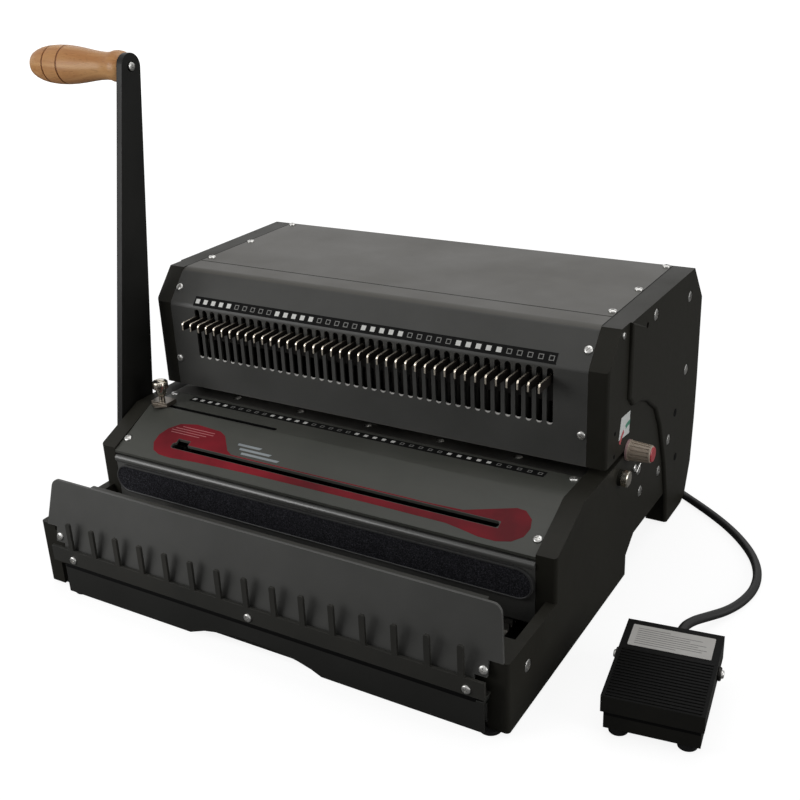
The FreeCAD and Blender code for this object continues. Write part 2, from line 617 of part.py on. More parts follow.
def front_skirt():
    """Lower front sheet with a shallow arch, flanged back and up to the comb at its top."""
    body = new_body("front_skirt")
    back = "-comb_front + sheet"
    extrude(body, "YZ", outline(("-comb_front", "skirt_low"), ("-comb_front", "skirt_flange"),
                                ("-sheet", "skirt_flange"), ("-sheet", "comb_low"),
                                ("0", "comb_low"), ("0", "skirt_flange - sheet"),
                                (back, "skirt_flange - sheet"), (back, "skirt_low")),
            "-skirt_left", "skirt_right")
    extrude(body, "XZ", outline(*((f"arch_centre + arch_half * {share}",
                                   f"skirt_low + arch_rise * {rise}") for share, rise in ARCH)),
            "-comb_front - 1", back + " + 1", cut=True)


# Head covers and marks

def head_front_cover():
    """Faceted front cover with one slot for each punch tab."""
    body = new_body("head_front_cover")
    back = "head_front + sheet"
    extrude(body, "YZ", outline(("head_front", "head_low"), ("head_front", "brow_level"),
                                ("brow_back", "head_top"), ("seam_line", "head_top"),
                                ("seam_line", "head_top - sheet"),
                                ("brow_back + 0.8", "head_top - sheet"),
                                (back, "brow_level - 0.8"), (back, "head_low")),
            "-cover_half", "cover_half")
    half = "slot_width / 2"
    slot = extrude(body, "XZ", oblong(("pin_first", f"slot_low + {half}"),
                                      ("pin_first", f"slot_high - {half}"), "slot_width"),
                   "head_front - 1", back + " + 1", cut=True)
    repeat(body, [slot], "pin_pitch * (pin_count - 1)", "pin_count")
    drill(body, "XZ", mirrored([("screw_side", "post_low + 12")]), "screw_shank",
          "head_front - 1", back + " + 1")


def head_top_cover():
    """Flat top with the rear bevel."""
    body = new_body("head_top_cover")
    front = "seam_line + seam_gap"
    extrude(body, "YZ", outline((front, "head_top"), ("head_rear", "head_top"),
                                ("cover_rear", "bevel_level"), ("cover_rear - 2.4", "bevel_level"),
                                ("head_rear - 1", "head_top - sheet"),
                                (front, "head_top - sheet")), "-cover_half", "cover_half")
    spots = mirrored([("screw_side", back) for back in TOP_SCREW_BACKS])
    drill(body, "XY", spots, "screw_shank", "head_top - 4", "head_top + 1")


def rear_cover():
    """Rear sheet with vents and the cut-outs for inlet, switch and gland."""
    body = new_body("rear_cover")
    front = "cover_rear - sheet"
    extrude(body, "XZ", box("-cover_half", "cover_half", "arch_level + 1", "bevel_level - seam_gap"),
            front, "cover_rear")
    through = (front + " - 1", "cover_rear + 1")
    vent = extrude(body, "XZ", oblong(("vent_left", "vent_level + vent_width / 2"),
                                      ("vent_left", "vent_level + vent_height - vent_width / 2"),
                                      "vent_width"), *through, cut=True)
    repeat(body, [vent], "vent_pitch * (vent_count - 1)", "vent_count")
    extrude(body, "XZ", box("-inlet_side - inlet_half", "-inlet_side + inlet_half",
                            "inlet_level - inlet_rise", "inlet_level + inlet_rise"),
            *through, cut=True)
    extrude(body, "XZ", box("-switch_side - switch_half - 0.5", "-switch_side + switch_half + 0.5",
                            "inlet_level - switch_rise - 0.8", "inlet_level + switch_rise + 0.8"),
            *through, cut=True)
    drill(body, "XZ", [("gland_side", "gland_level")], "gland_radius", *through)


def mark_strips():
    """Thin rows of square marks: one on the brow facet, one on the wire bed."""
    body = new_body("mark_strips")
    def on_facet(share, rise):
        return (f"head_front + facet_run * {share} - facet_rise * {rise}",
                f"brow_level + facet_rise * {share} + facet_run * {rise}")
    lift = "mark_thick / 34.7"
    extrude(body, "YZ", outline(on_facet("mark_from", "0"), on_facet("mark_to", "0"),
                                on_facet("mark_to", lift), on_facet("mark_from", lift)),
            "-mark_half", "mark_half")
    extrude(body, "YZ", box("lower_mark_front", "lower_mark_back", "bed_top",
                            "bed_top + mark_thick"), "-mark_half", "mark_half")


def domed_screw(body, side, spot, along, out):
    """Turn one domed head about a slanted axis in a plane across X."""
    def at(a, n):
        return (f"({spot[0]}) + ({along[0]}) * {a} + ({out[0]}) * {n}",
                f"({spot[1]}) + ({along[1]}) * {a} + ({out[1]}) * {n}")
    level = "screw_side" if side > 0 else "-screw_side"
    turn(body, "YZ", level, (at(0, 0), at(0, 1)),
         [at(0, 0), at(0.1, 0), at(0.09, 0.03), at(0.05, 0.055), at(0, 0.06)])


def cover_screws():
    """Screws of the top cover, the brow facet and the front cover."""
    body = new_body("cover_screws")
    tops = mirrored([("screw_side", back) for back in TOP_SCREW_BACKS])
    extrude(body, "XY", circles(tops, "screw_head"), "head_top", "head_top + screw_rise")
    extrude(body, "XY", circles(tops, "screw_shank - fit"), "head_top - screw_length", "head_top")
    fronts = mirrored([("screw_side", "post_low + 12")])
    extrude(body, "XZ", circles(fronts, "screw_head"), "head_front - screw_rise", "head_front")
    extrude(body, "XZ", circles(fronts, "screw_shank - fit"), "head_front", "head_front + sheet")
    for side in (1, -1):
        domed_screw(body, side, ("head_front + facet_run * 0.45", "brow_level + facet_rise * 0.45"),
                    ("facet_run", "facet_rise"), ("-facet_rise", "facet_run"))


def bed_screws():
    """Screws of the wire bed and of the die plate."""
    body = new_body("bed_screws")
    rears = mirrored([("screw_side", "bed_rear - 5")])
    extrude(body, "XY", circles(rears, "screw_head"), "bed_top", "bed_top + screw_rise")
    extrude(body, "XY", circles(rears, "screw_shank - fit"), "bed_top - sheet", "bed_top")
    extrude(body, "XY", circles(DIE_SCREWS, "screw_head - fit"), "bed_top - 1.5", "bed_top")
    for side in (1, -1):
        domed_screw(body, side, ("bed_front + slope_run * 0.27", "bed_front_top + slope_rise * 0.27"),
                    ("slope_run * 0.65", "slope_rise * 0.65"),
                    ("-slope_rise * 0.65", "slope_run * 0.65"))


def front_screws():
    """Screws of the flap and of the comb bar."""
    body = new_body("front_screws")
    seat = flap_face("(lug_high - 1.5 - screw_head)")
    for spots, face, deep in ((FLAP_SCREWS, seat, flap_face("lug_high - 1.5") + " + 0.7"),
                              (BAR_SCREWS, "-comb_front", "-comb_back")):
        extrude(body, "XZ", circles(spots, "screw_head"), face + " - screw_rise", face)
        extrude(body, "XZ", circles(spots, "screw_shank - fit"), face, deep)


# Punch

DIE_SCREWS = [(x, "bed_rear + 10.5") for x in ("-132.3", "-64.5", "3.3", "71", "138.7")]


def pin_row(body, plane_radius, low, high):
    """Drill one hole per punch pin."""
    hole = drill(body, "XY", [("pin_first", "pin_back")], plane_radius, low, high)
    return repeat(body, [hole], "pin_pitch * (pin_count - 1)", "pin_count")


def die_plate():
    body = new_body("die_plate")
    extrude(body, "XY", box("-half_in", "half_in", "bed_rear + play", "plate_back"),
            "die_low", "bed_top")
    pin_row(body, "pin_radius + pin_hole_play", "die_low - 1", "bed_top + 1")
    drill(body, "XY", DIE_SCREWS, "screw_head", "bed_top - 1.5", "bed_top + 1")


def pin_guide():
    """Guide plate over the throat that keeps the punch pins square to the die."""
    body = new_body("pin_guide")
    extrude(body, "XY", box("-half_in", "half_in", "guide_front", "plate_back"),
            "head_low", "guide_high")
    pin_row(body, "pin_radius + pin_hole_play", "head_low - 1", "guide_high + 1")
    drill(body, "XY", mirrored([("rod_side", "rod_back")]), "rod_radius",
          "head_low - 1", "guide_high + 1")


def guide_rods():
    body = new_body("guide_rods")
    extrude(body, "XY", circles(mirrored([("rod_side", "rod_back")]), "rod_radius"),
            "head_low", "rod_top")


def ram():
    """Ram bar with pin sockets, tab slots and the two yokes round the eccentrics."""
    body = new_body("ram")
    extrude(body, "XY", box("-ram_half", "ram_half", "ram_front", "ram_back"),
            "ram_low", "ram_high")
    reach = "(crank_radius + yoke_play)"
    for side in (1, -1):
        low, high = span(side, "yoke_side - yoke_thick / 2", "yoke_side + yoke_thick / 2")
        wide = "(crank_radius + crank_throw + 0.6)"
        extrude(body, "YZ", box("ram_back", f"drive_back + {wide} + yoke_bar",
                                f"crank_top - {reach} - yoke_bar",
                                f"crank_top + {reach} + yoke_bar"), low, high)
        extrude(body, "YZ", box(f"drive_back - {wide}", f"drive_back + {wide}",
                                f"crank_top - {reach}", f"crank_top + {reach}"),
                f"{low} - 1", f"{high} + 1", cut=True)
    socket = drill(body, "XY", [("pin_first", "pin_back")], "pin_radius + fit",
                   "ram_low - 1", "pin_high + 0.3")
    slot = extrude(body, "XZ", box("pin_first - tab_thick / 2 - play",
                                   "pin_first + tab_thick / 2 + play",
                                   "tab_low - play", "tab_high + play"),
                   "ram_front - 1", "pin_back + play", cut=True)
    repeat(body, [socket, slot], "pin_pitch * (pin_count - 1)", "pin_count")
    drill(body, "XY", mirrored([("rod_side", "rod_back")]), "rod_radius + fit",
          "ram_low - 1", "ram_high + 1")


def punch_pins():
    """Round punch pins, each with a notch that its tab locks into."""
    body = new_body("punch_pins")
    pin = extrude(body, "XY", circles([("pin_first", "pin_back")], "pin_radius"),
                  "pin_low", "pin_high")
    notch = extrude(body, "XZ", box("pin_first - pin_radius - 1", "pin_first + pin_radius + 1",
                                    "tab_low - play * 2", "tab_high + play * 2"),
                    "pin_back - pin_radius - 1", "pin_back", cut=True)
    repeat(body, [pin, notch], "pin_pitch * (pin_count - 1)", "pin_count")


def tab_set(first):
    """One set of pull tabs; a tab pulled out of its notch leaves that pin idle."""
    body = new_body(f"pull_tabs_{first + 1:02d}_{first + int(number('tab_set')):02d}")
    centre = f"pin_first + pin_pitch * {first}"
    front = "head_front - tab_reach"
    tab = extrude(body, "YZ", outline((front, "tab_low"), ("pin_back - play", "tab_low"),
                                      ("pin_back - play", "tab_high"),
                                      (f"{front} + tab_corner", "tab_high"),
                                      (f"{front} + tab_corner * 0.3", "tab_high - tab_corner * 0.3"),
                                      (front, "tab_high - tab_corner")),
                  centre + " - tab_thick / 2", centre + " + tab_thick / 2")
    repeat(body, [tab], "pin_pitch * (tab_set - 1)", "tab_set")


def eccentric_shaft():
    """Drive shaft with its two eccentrics, both at their top."""
    body = new_body("eccentric_shaft")
    extrude(body, "YZ", circles([("drive_back", "drive_level")], "drive_radius"),
            "-half_in - bore_depth + 0.5", "half_in + bore_depth - 0.5")
    for side in (1, -1):
        extrude(body, "YZ", circles([("drive_back", "crank_top")], "crank_radius"),
                *span(side, "yoke_side - yoke_thick / 2 - 1", "yoke_side + yoke_thick / 2 + 1"))


def gear_shape(module, teeth, width, bore, gap_angle, slack=0.12):
    """Spur gear about X at the origin, from X 0 to width, with one tooth gap at gap_angle."""
    pitch_radius = module * teeth / 2
    base_radius = pitch_radius * math.cos(math.radians(20))
    root = pitch_radius - 1.25 * module
    tip = pitch_radius + 0.95 * module

    def involute(radius):
        turn_angle = math.acos(min(1.0, base_radius / radius))
        return math.tan(turn_angle) - turn_angle

    half_tooth = math.pi / (2 * teeth) - slack / (2 * pitch_radius) + involute(pitch_radius)
    low = max(root, base_radius)
    flank = [(root, half_tooth)] if root < base_radius else []
    steps = 4
    for step in range(steps + 1):
        radius = low + (tip - low) * step / steps
        flank.append((radius, half_tooth - involute(radius)))
    points = []
    for tooth in range(teeth):
        centre = gap_angle + math.pi / teeth + 2 * math.pi * tooth / teeth
        for radius, off in flank:
            points.append((radius, centre - off))
        for radius, off in reversed(flank):
            points.append((radius, centre + off))
    spots = [Vector(0, r * math.cos(a), r * math.sin(a)) for r, a in points]
    wire = Part.makePolygon(spots + [spots[0]])
    solid = Part.Face(wire).extrude(Vector(width, 0, 0))
    hole = Part.makeCylinder(bore, width + 2, Vector(-1, 0, 0), Vector(1, 0, 0))
    return solid.cut(hole)


MESH_ANGLE = -math.acos(number("motor_side") / number("gear_distance"))
MOTOR_DROP = -number("gear_distance") * math.sin(MESH_ANGLE)


def drive_gear():
    teeth = int(number("gear_teeth"))
    shape = gear_shape(number("gear_module"), teeth, number("gear_width"),
                       number("drive_radius"), MESH_ANGLE + math.pi / teeth)
    new_feature("drive_gear", shape, side="gear_near",
                back="drive_back - base_depth / 2", level="drive_level")


def motor_pinion():
    """Pinion on the motor's output shaft."""
    shape = gear_shape(number("gear_module"), int(number("pinion_teeth")),
                       number("gear_width") + 4, 0.5, MESH_ANGLE + math.pi)
    start = number("motor_right") - 18
    length = number("gear_near") - 2 - start + 2
    shaft = Part.makeCylinder(number("motor_shaft"), length,
                              Vector(start - number("gear_near") + 2, 0, 0), Vector(1, 0, 0))
    core = Part.makeCylinder(1.0, number("gear_width") + 4, Vector(0, 0, 0), Vector(1, 0, 0))
    new_feature("motor_pinion", shape.fuse([shaft, core]).removeSplitter(), side="gear_near - 2",
                back="motor_back - base_depth / 2", level=f"drive_level - {MOTOR_DROP:.6f}")


def motor():
    """Gear motor on its foot, with the bore that its output shaft runs in."""
    body = new_body("motor")
    level = f"drive_level - {MOTOR_DROP:.6f}"
    extrude(body, "YZ", circles([("motor_back", level)], "motor_radius"),
            "motor_left", "motor_right - 34")
    extrude(body, "YZ", circles([("motor_back", level)], "motor_radius - 6"),
            "motor_right - 34", "motor_right")
    extrude(body, "YZ", box("motor_back - motor_foot", "motor_back + motor_foot",
                            "floor_top", level), "motor_left + 20", "motor_right - 50")
    drill(body, "YZ", [("motor_back", level)], "motor_shaft + fit",
          "motor_right - 20", "motor_right + 1")


# Wire closer and lever

def closer_shaft():
    body = new_body("closer_shaft")
    extrude(body, "YZ", circles([("closer_back", "closer_level")], "closer_radius"),
            "-lever_far", "half_in + bore_depth - 0.5")
    extrude(body, "YZ", circles([("closer_back", "closer_level")], "closer_radius + 4"),
            "-lever_far - cap_thick", "-lever_far")


def closer_pinions():
    width = number("rack_width")
    near = number("rack_near")
    shape = gear_shape(number("closer_module"), int(number("closer_teeth")), width,
                       number("closer_radius"), -math.pi / 2)
    left = shape.copy()
    shape.translate(Vector(near, 0, 0))
    left.translate(Vector(-near - width, 0, 0))
    new_feature("closer_pinions", Part.makeCompound([shape, left]),
                back="closer_back - base_depth / 2", level="closer_level")


def rack_shape(side):
    """Rack bar with teeth up; a tooth is centred under the pinion."""
    module, teeth_front = number("closer_module"), number("rack_teeth_front")
    pitch = math.pi * module
    slope = math.tan(math.radians(20))
    middle, level = number("closer_back"), number("rack_pitch_level")
    root, tip = level - 1.25 * module, level + 0.95 * module
    half = pitch / 4 - 0.08
    before = int((middle - teeth_front) / pitch)
    points = [(number("rack_front"), number("rack_low")), (number("rack_back"), number("rack_low")),
              (number("rack_back"), root)]
    for step in range(3, -before - 1, -1):
        centre = middle + step * pitch
        points += [(centre + half + (level - root) * slope, root),
                   (centre + half - (tip - level) * slope, tip),
                   (centre - half + (tip - level) * slope, tip),
                   (centre - half - (level - root) * slope, root)]
    points += [(teeth_front - pitch, root), (teeth_front - pitch, tip), (number("rack_front"), tip)]
    low = number("rack_near") if side > 0 else -number("rack_near") - number("rack_width")
    spots = [Vector(low + number("play"), y, z) for y, z in points]
    wire = Part.makePolygon(spots + [spots[0]])
    return Part.Face(wire).extrude(Vector(number("rack_width") - 2 * number("play"), 0, 0))


def closer_racks():
    new_feature("closer_racks", Part.makeCompound([rack_shape(1), rack_shape(-1)]))


def closing_bar():
    """Moving jaw: a bar across the well on two legs that stand on the racks."""
    body = new_body("closing_bar")
    back = "rack_front + bar_thick"
    extrude(body, "XY", box("-bar_half", "bar_half", "rack_front", back), "bar_low", "bar_high")
    for side in (1, -1):
        low, high = span(side, "rack_near + play", "rack_near + rack_width - play")
        extrude(body, "XY", box(low, high, "rack_front", back),
                "rack_pitch_level + closer_module * 0.95", "bar_low")


LEVER_FRAME = {"back": "closer_back - base_depth / 2", "level": "closer_level",
               "axis": Vector(-1, 0, 0), "turn": "lever_lean"}


def lever_arm():
    """Tapered flat lever in a frame where it stands upright on its pivot."""
    body = new_body("lever_arm", **LEVER_FRAME)
    where = ("-lever_far", "-lever_near")
    extrude(body, "YZ", outline(("-lever_root", "0"), ("lever_root", "0"),
                                ("lever_tip", "lever_length"), ("-lever_tip", "lever_length")),
            *where)
    extrude(body, "YZ", circles([("0", "0")], "lever_root"), *where)
    extrude(body, "YZ", circles([("0", "lever_length")], "lever_tip"), *where)
    extrude(body, "YZ", circles([("0", "0")], "closer_radius + 7"),
            "-lever_near", "-half_out - play")
    drill(body, "YZ", [("0", "0")], "closer_radius", "-lever_far - 1", "-half_out")
    drill(body, "YZ", [("0", "lever_length")], "grip_bolt", "-lever_far - 1", "-lever_near + 1")


# Grip outline as shares of its length from the lever, with the radius there
GRIP_OUTLINE = [(0.0, 11.0), (0.03, 12.4), (0.07, 12.9), (0.10, 12.6), (0.13, 11.5), (0.19, 11.2),
                (0.26, 11.7), (0.34, 12.8), (0.43, 14.3), (0.52, 15.5), (0.61, 16.2), (0.69, 16.3),
                (0.725, 16.2), (0.73, 15.2), (0.745, 15.2), (0.75, 16.0), (0.80, 15.4),
                (0.86, 14.2), (0.885, 13.5), (0.89, 12.5), (0.905, 12.3), (0.91, 12.9),
                (0.945, 10.8), (0.975, 7.6), (0.992, 4.2), (1.0, 0.0)]


def lever_grip():
    """Turned wooden grip that spins on its bolt."""
    body = new_body("lever_grip", **LEVER_FRAME)
    start = "-lever_far - play"
    points = [(start, "lever_length + grip_bolt + fit")]
    points += [(f"{start} - grip_length * {share}", f"lever_length + {radius}")
               for share, radius in GRIP_OUTLINE]
    inner = f"{start} - grip_length * 0.8"
    points += [(inner, "lever_length"), (inner, "lever_length + grip_bolt + fit")]
    turn(body, "XZ", "0", ((start, "lever_length"), (f"{start} - grip_length", "lever_length")),
         points)


def grip_bolt():
    body = new_body("grip_bolt", **LEVER_FRAME)
    spot = [("0", "lever_length")]
    extrude(body, "YZ", circles(spot, "grip_bolt"), "-lever_far - grip_length * 0.8 + 1",
            "-lever_near")
    extrude(body, "YZ", circles(spot, "grip_bolt + 1.6"), "-lever_near", "-lever_near + 1.8")


# Margin gauge, side guide and knobs

def margin_shaft():
    body = new_body("margin_shaft")
    centre = [("margin_back", "margin_level")]
    extrude(body, "YZ", circles(centre, "margin_radius"), "-half_in - bore_depth + 0.5",
            "knob_near + knob_length - 2")
    for side in (1, -1):
        extrude(body, "YZ", circles([("margin_back + margin_throw", "margin_level")], "margin_disc"),
                *span(side, "margin_side - 4", "margin_side + 4"))


def margin_knob():
    """Tapered knob on the margin shaft."""
    body = new_body("margin_knob")
    near, level = "knob_near", "margin_level"
    turn(body, "XZ", "margin_back", ((near, level), (near + " + knob_length", level)),
         [(near, level + " + margin_radius"), (near, level + " + knob_root + 0.5"),
          (near + " + 2", level + " + knob_root + 0.5"), (near + " + 2", level + " + knob_root"),
          (near + " + knob_length - 1", level + " + knob_tip"),
          (near + " + knob_length", level + " + knob_tip - 1"),
          (near + " + knob_length", level),
          (near + " + knob_length - 2", level),
          (near + " + knob_length - 2", level + " + margin_radius")])


def margin_knob_cap():
    body = new_body("margin_knob_cap")
    near = "knob_near + knob_length"
    extrude(body, "YZ", circles([("margin_back", "margin_level")], "knob_tip - 1"),
            near, near + " + 1")


def back_gauge():
    """Paper stop in the throat with the two yokes round the margin eccentrics."""
    body = new_body("back_gauge")
    low, high = "bed_top + play", "head_low - play"
    extrude(body, "XY", box("-gauge_half", "gauge_half", "gauge_front",
                            "gauge_front + gauge_depth"), low, high)
    disc_back = "margin_back + margin_throw"
    wide, tall = "(margin_disc + 0.7)", "(margin_disc + margin_throw + 0.3)"
    for side in (1, -1):
        near, far = span(side, "margin_side - 3", "margin_side + 3")
        extrude(body, "XY", box(near, far, "gauge_front + gauge_depth",
                                f"{disc_back} - {wide} - 3"), low, high)
        extrude(body, "YZ", box(f"{disc_back} - {wide} - 3", f"{disc_back} + {wide} + 3",
                                f"margin_level - {tall} - 3", f"margin_level + {tall} + 3"),
                near, far)
        extrude(body, "YZ", box(f"{disc_back} - {wide}", f"{disc_back} + {wide}",
                                f"margin_level - {tall}", f"margin_level + {tall}"),
                f"{near} - 1", f"{far} + 1", cut=True)


def side_guide():
    """Paper side stop: a block on the bed, its stem in the guide slot and a nut below."""
    body = new_body("side_guide")
    near, far = "-guide_side - guide_half", "-guide_side + guide_half"
    extrude(body, "XY", box(near, far, "bed_kink + 0.5", "guide_block_back"),
            "bed_top + play", "guide_block_high")
    extrude(body, "XY", outline((near, "bed_kink + 0.5"), ("-guide_side", "bed_kink - 6"),
                                (far, "bed_kink + 0.5")), "bed_top + play", "bed_top + 1.5")
    stem = [("-guide_side", "guide_slot_back")]
    extrude(body, "XY", circles(stem, "guide_slot_width / 2 - play"),
            "bed_top - sheet - play", "bed_top + play")
    extrude(body, "XY", circles(stem, "guide_slot_width"), "bed_top - sheet - 3",
            "bed_top - sheet - play")


def thumb_screw():
    """Knurled thumb screw that locks the side guide."""
    body = new_body("thumb_screw")
    side, low = "-guide_side", "guide_block_high + play"
    turn(body, "XZ", "guide_slot_back", ((side, low), (side, "thumb_high")),
         [(side, low), (side + " + 3.4", low), (side + " + 2.6", "thumb_neck - 5"),
          (side + " + 3.2", "thumb_neck - 1"), (side + " + thumb_radius - 1", "thumb_neck"),
          (side + " + thumb_radius", "thumb_neck + 1"), (side + " + thumb_radius", "thumb_high - 1"),
          (side + " + thumb_radius - 1", "thumb_high"), (side, "thumb_high")])


def lock_knob():
    """Knurled knob on the right flank."""
    body = new_body("lock_knob")
    centre = [("lock_back", "lock_level")]
    near = "half_out + lock_collar + play"
    extrude(body, "YZ", circles(centre, "lock_stem"), "half_out - bolt_length + 0.5", near)
    extrude(body, "YZ", circles(centre, "lock_radius"), near, near + " + lock_length")


# Chip tray and rear fittings

def chip_tray():
    """Open tray under the die that slides out to the back."""
    body = new_body("chip_tray")
    low, tail = "pan_thick + play", "base_depth - 2"
    extrude(body, "XY", box("-tray_half", "tray_half", "tray_front", tail), low, "tray_high")
    extrude(body, "XY", box("-tray_half + tray_wall", "tray_half - tray_wall",
                            "tray_front + tray_wall", tail + " - tray_wall"),
            low + " + tray_wall", "tray_high + 1", cut=True)
    extrude(body, "XY", box("-tray_half", "tray_half", tail, "base_depth"),
            low, "arch_level - 0.5")
    extrude(body, "XY", box("-20", "20", "base_depth", "base_depth + 9"), "14", "18")


def power_inlet():
    """Mains inlet: flanged socket with three contact blades in its well."""
    body = new_body("power_inlet")
    left, right = "-inlet_side - inlet_half", "-inlet_side + inlet_half"
    low, high = "inlet_level - inlet_rise", "inlet_level + inlet_rise"
    extrude(body, "XZ", box(left, right, low, high), "cover_rear - 18", "cover_rear")
    extrude(body, "XZ", box(left + " - 3", right + " + 3", low + " - 3", high + " + 3"),
            "cover_rear", "cover_rear + 1.5")
    extrude(body, "XZ", box(left + " + 3", right + " - 3", low + " + 3", high + " - 3"),
            "cover_rear - 14", "cover_rear + 2", cut=True)
    for x, z in (("-7", "-1.5"), ("7", "-1.5"), ("0", "3")):
        extrude(body, "XZ", box(f"-inlet_side + {x} - 1", f"-inlet_side + {x} + 1",
                                f"inlet_level + {z} - 2", f"inlet_level + {z} + 2"),
                "cover_rear - 14", "cover_rear - 3")


def power_switch():
    """Rocker in the off position: its lower half stands out."""
    body = new_body("power_switch")
    low, high = "inlet_level - switch_rise", "inlet_level + switch_rise"
    extrude(body, "YZ", outline(("cover_rear - 5", low), ("cover_rear + 3", low),
                                ("cover_rear + 1", "inlet_level"), ("cover_rear + 0.2", high),
                                ("cover_rear - 5", high)),
            "-switch_side - switch_half", "-switch_side + switch_half")
    extrude(body, "YZ", circles([("cover_rear - sheet - play - 1", "inlet_level")], "1"),
            "-switch_side - switch_half - 2", "-switch_side + switch_half + 2")


def cord_gland():
    body = new_body("cord_gland")
    level = "gland_level"
    turn(body, "YZ", "gland_side", (("cover_rear - 6", level), ("cover_rear", level)),
         [("cover_rear - 6", level + " + cord_diameter / 2 + fit"),
          ("cover_rear - 6", level + " + gland_radius"),
          ("cover_rear", level + " + gland_radius"),
          ("cover_rear", level + " + gland_radius + 2.5"),
          ("cover_rear + 3", level + " + gland_radius + 2.5"),
          ("cover_rear + 4", level + " + gland_radius"),
          ("cover_rear + gland_length", level + " + gland_radius - 1"),
          ("cover_rear + gland_length", level + " + cord_diameter / 2 + fit")])


# Foot pedal

PEDAL_FRAME = {"side": "pedal_side", "back": "pedal_back - base_depth / 2",
               "turn": "pedal_turn"}


def pedal_base():
    """Open steel tray with the boss that the cord enters."""
    body = new_body("pedal_base", **PEDAL_FRAME)
    extrude(body, "XY", box("-tray_side", "tray_side", "-tray_reach", "tray_tail"),
            "pedal_low", "pedal_rim")
    extrude(body, "XY", box("-tray_side + 2", "tray_side - 2", "-tray_reach + 2", "tray_tail - 2"),
            "pedal_low + 2", "pedal_rim + 1", cut=True)
    extrude(body, "XZ", circles([("0", "entry_level")], "entry_radius"),
            "tray_tail", "tray_tail + entry_length")
    for side in (1, -1):
        extrude(body, "YZ", circles([("pivot_back", "pivot_level")], "pivot_ear"),
                *span(side, "tray_side - 2", "tray_side"))
    drill(body, "YZ", [("pivot_back", "pivot_level")], "pivot_radius",
          "-tray_side - 1", "tray_side + 1")


def pedal_plate():
    """Folded tread plate: top, two flanks and a front lip."""
    body = new_body("pedal_plate", **PEDAL_FRAME)
    side, reach = "pedal_half", "pedal_reach"
    top, skin = "pedal_top", "pedal_skin"
    extrude(body, "YZ", outline((f"-{reach}", top + " - 2.5"), (f"-{reach}", "pedal_lip"),
                                (f"{reach}", "pedal_flank"), (reach, top)),
            f"-{side}", side)
    extrude(body, "YZ", outline((f"-{reach} + {skin}", top + f" - 2.5 - {skin}"),
                                (f"-{reach} + {skin}", "0"), (f"{reach} + 1", "0"),
                                (f"{reach} + 1", f"{top} - {skin}")),
            f"-{side} + {skin}", f"{side} - {skin}", cut=True)
    drill(body, "YZ", [("pivot_back", "pivot_level")], "pivot_radius + fit",
          f"-{side} - 1", f"{side} + 1")


def pedal_pivots():
    body = new_body("pedal_pivots", **PEDAL_FRAME)
    centre = [("pivot_back", "pivot_level")]
    for side in (1, -1):
        extrude(body, "YZ", circles(centre, "pivot_radius"),
                *span(side, "tray_side - 2", "pedal_half + play"))
        extrude(body, "YZ", circles(centre, "pivot_head"),
                *span(side, "pedal_half + play", "pedal_half + 2.4"))
        extrude(body, "YZ", circles(centre, "pivot_radius"),
                *span(side, "pedal_half", "pedal_half + 4"))


def pedal_feet():
    body = new_body("pedal_feet", **PEDAL_FRAME)
    spots = mirrored([("pedal_foot_side", "pedal_foot_reach"),
                      ("pedal_foot_side", "-pedal_foot_reach")])
    extrude(body, "XY", circles(spots, "pedal_foot"), "-foot_height", "pedal_low")


# Pedal cord: route by hand, from the gland round the rear leg to the pedal, Y from the front
CORD_ROUTE = [(97.3, 381, 46), (97.0, 402, 45.4), (97.8, 423, 42), (108, 441.5, 34),
              (126.6, 452, 23.5), (148, 452, 13), (166.6, 441, 5.2), (177.3, 422.7, 1.6),
              (178, 402.5, 0.7), (187, 384.5, 0.5), (204.5, 371.8, 0.5), (222.5, 359, 0.5),
              (241, 345.5, 0.5), (262, 328, 0.5), (280.5, 308, 0.5), (295.5, 286, 0.5),
              (304.5, 263, 0.5), (307, 240, 0.5), (303.5, 219, 0.6), (296.5, 200, 1.6),
              (287.5, 181, 5.5), (280.8, 163, 10.5), (277.98, 144.34, 14), (280.86, 123.84, 14)]


def cord_path(points):
    """Join straight runs by tangent arcs and return the wire with its arc radii."""
    spots = [Vector(*point) for point in points]
    edges, radii = [], []
    start = spots[0]
    for before, corner, after in zip(spots, spots[1:], spots[2:]):
        run_in, run_out = corner - before, after - corner
        half_turn = run_in.getAngle(run_out) / 2
        cut_back = 0.45 * min(run_in.Length, run_out.Length)
        radius = cut_back / math.tan(half_turn)
        along, onward = Vector(run_in).normalize(), Vector(run_out).normalize()
        arc_start, arc_end = corner - along * cut_back, corner + onward * cut_back
        inward = (onward - along).normalize()
        middle = corner + inward * (radius / math.cos(half_turn) - radius)
        edges.append(Part.LineSegment(start, arc_start).toShape())
        edges.append(Part.Arc(arc_start, middle, arc_end).toShape())
        radii.append(radius)
        start = arc_end
    edges.append(Part.LineSegment(start, spots[-1]).toShape())
    return Part.Wire(edges), radii


def pedal_cord():
    """Free cord from the rear gland to the pedal, lying on the floor between them."""
    radius = number("cord_diameter") / 2
    path, radii = cord_path(CORD_ROUTE)
    first = Vector(*CORD_ROUTE[0])
    ring = Part.Circle(first, Vector(*CORD_ROUTE[1]) - first, radius).toShape()
    tube = path.makePipeShell([Part.Wire([ring])], True, False)
    ratio = tube.Volume / (math.pi * radius * radius * path.Length)
    runs = [(Vector(*a) - Vector(*b)).Length for a, b in zip(CORD_ROUTE, CORD_ROUTE[1:])]
    print("cord length %.1f, runs %.0f to %.0f, volume ratio %.4f" %
          (path.Length, min(runs), max(runs), ratio))
    print("cord radii", " ".join(f"{radius:.0f}" for radius in radii))
    new_feature("pedal_cord", tube)


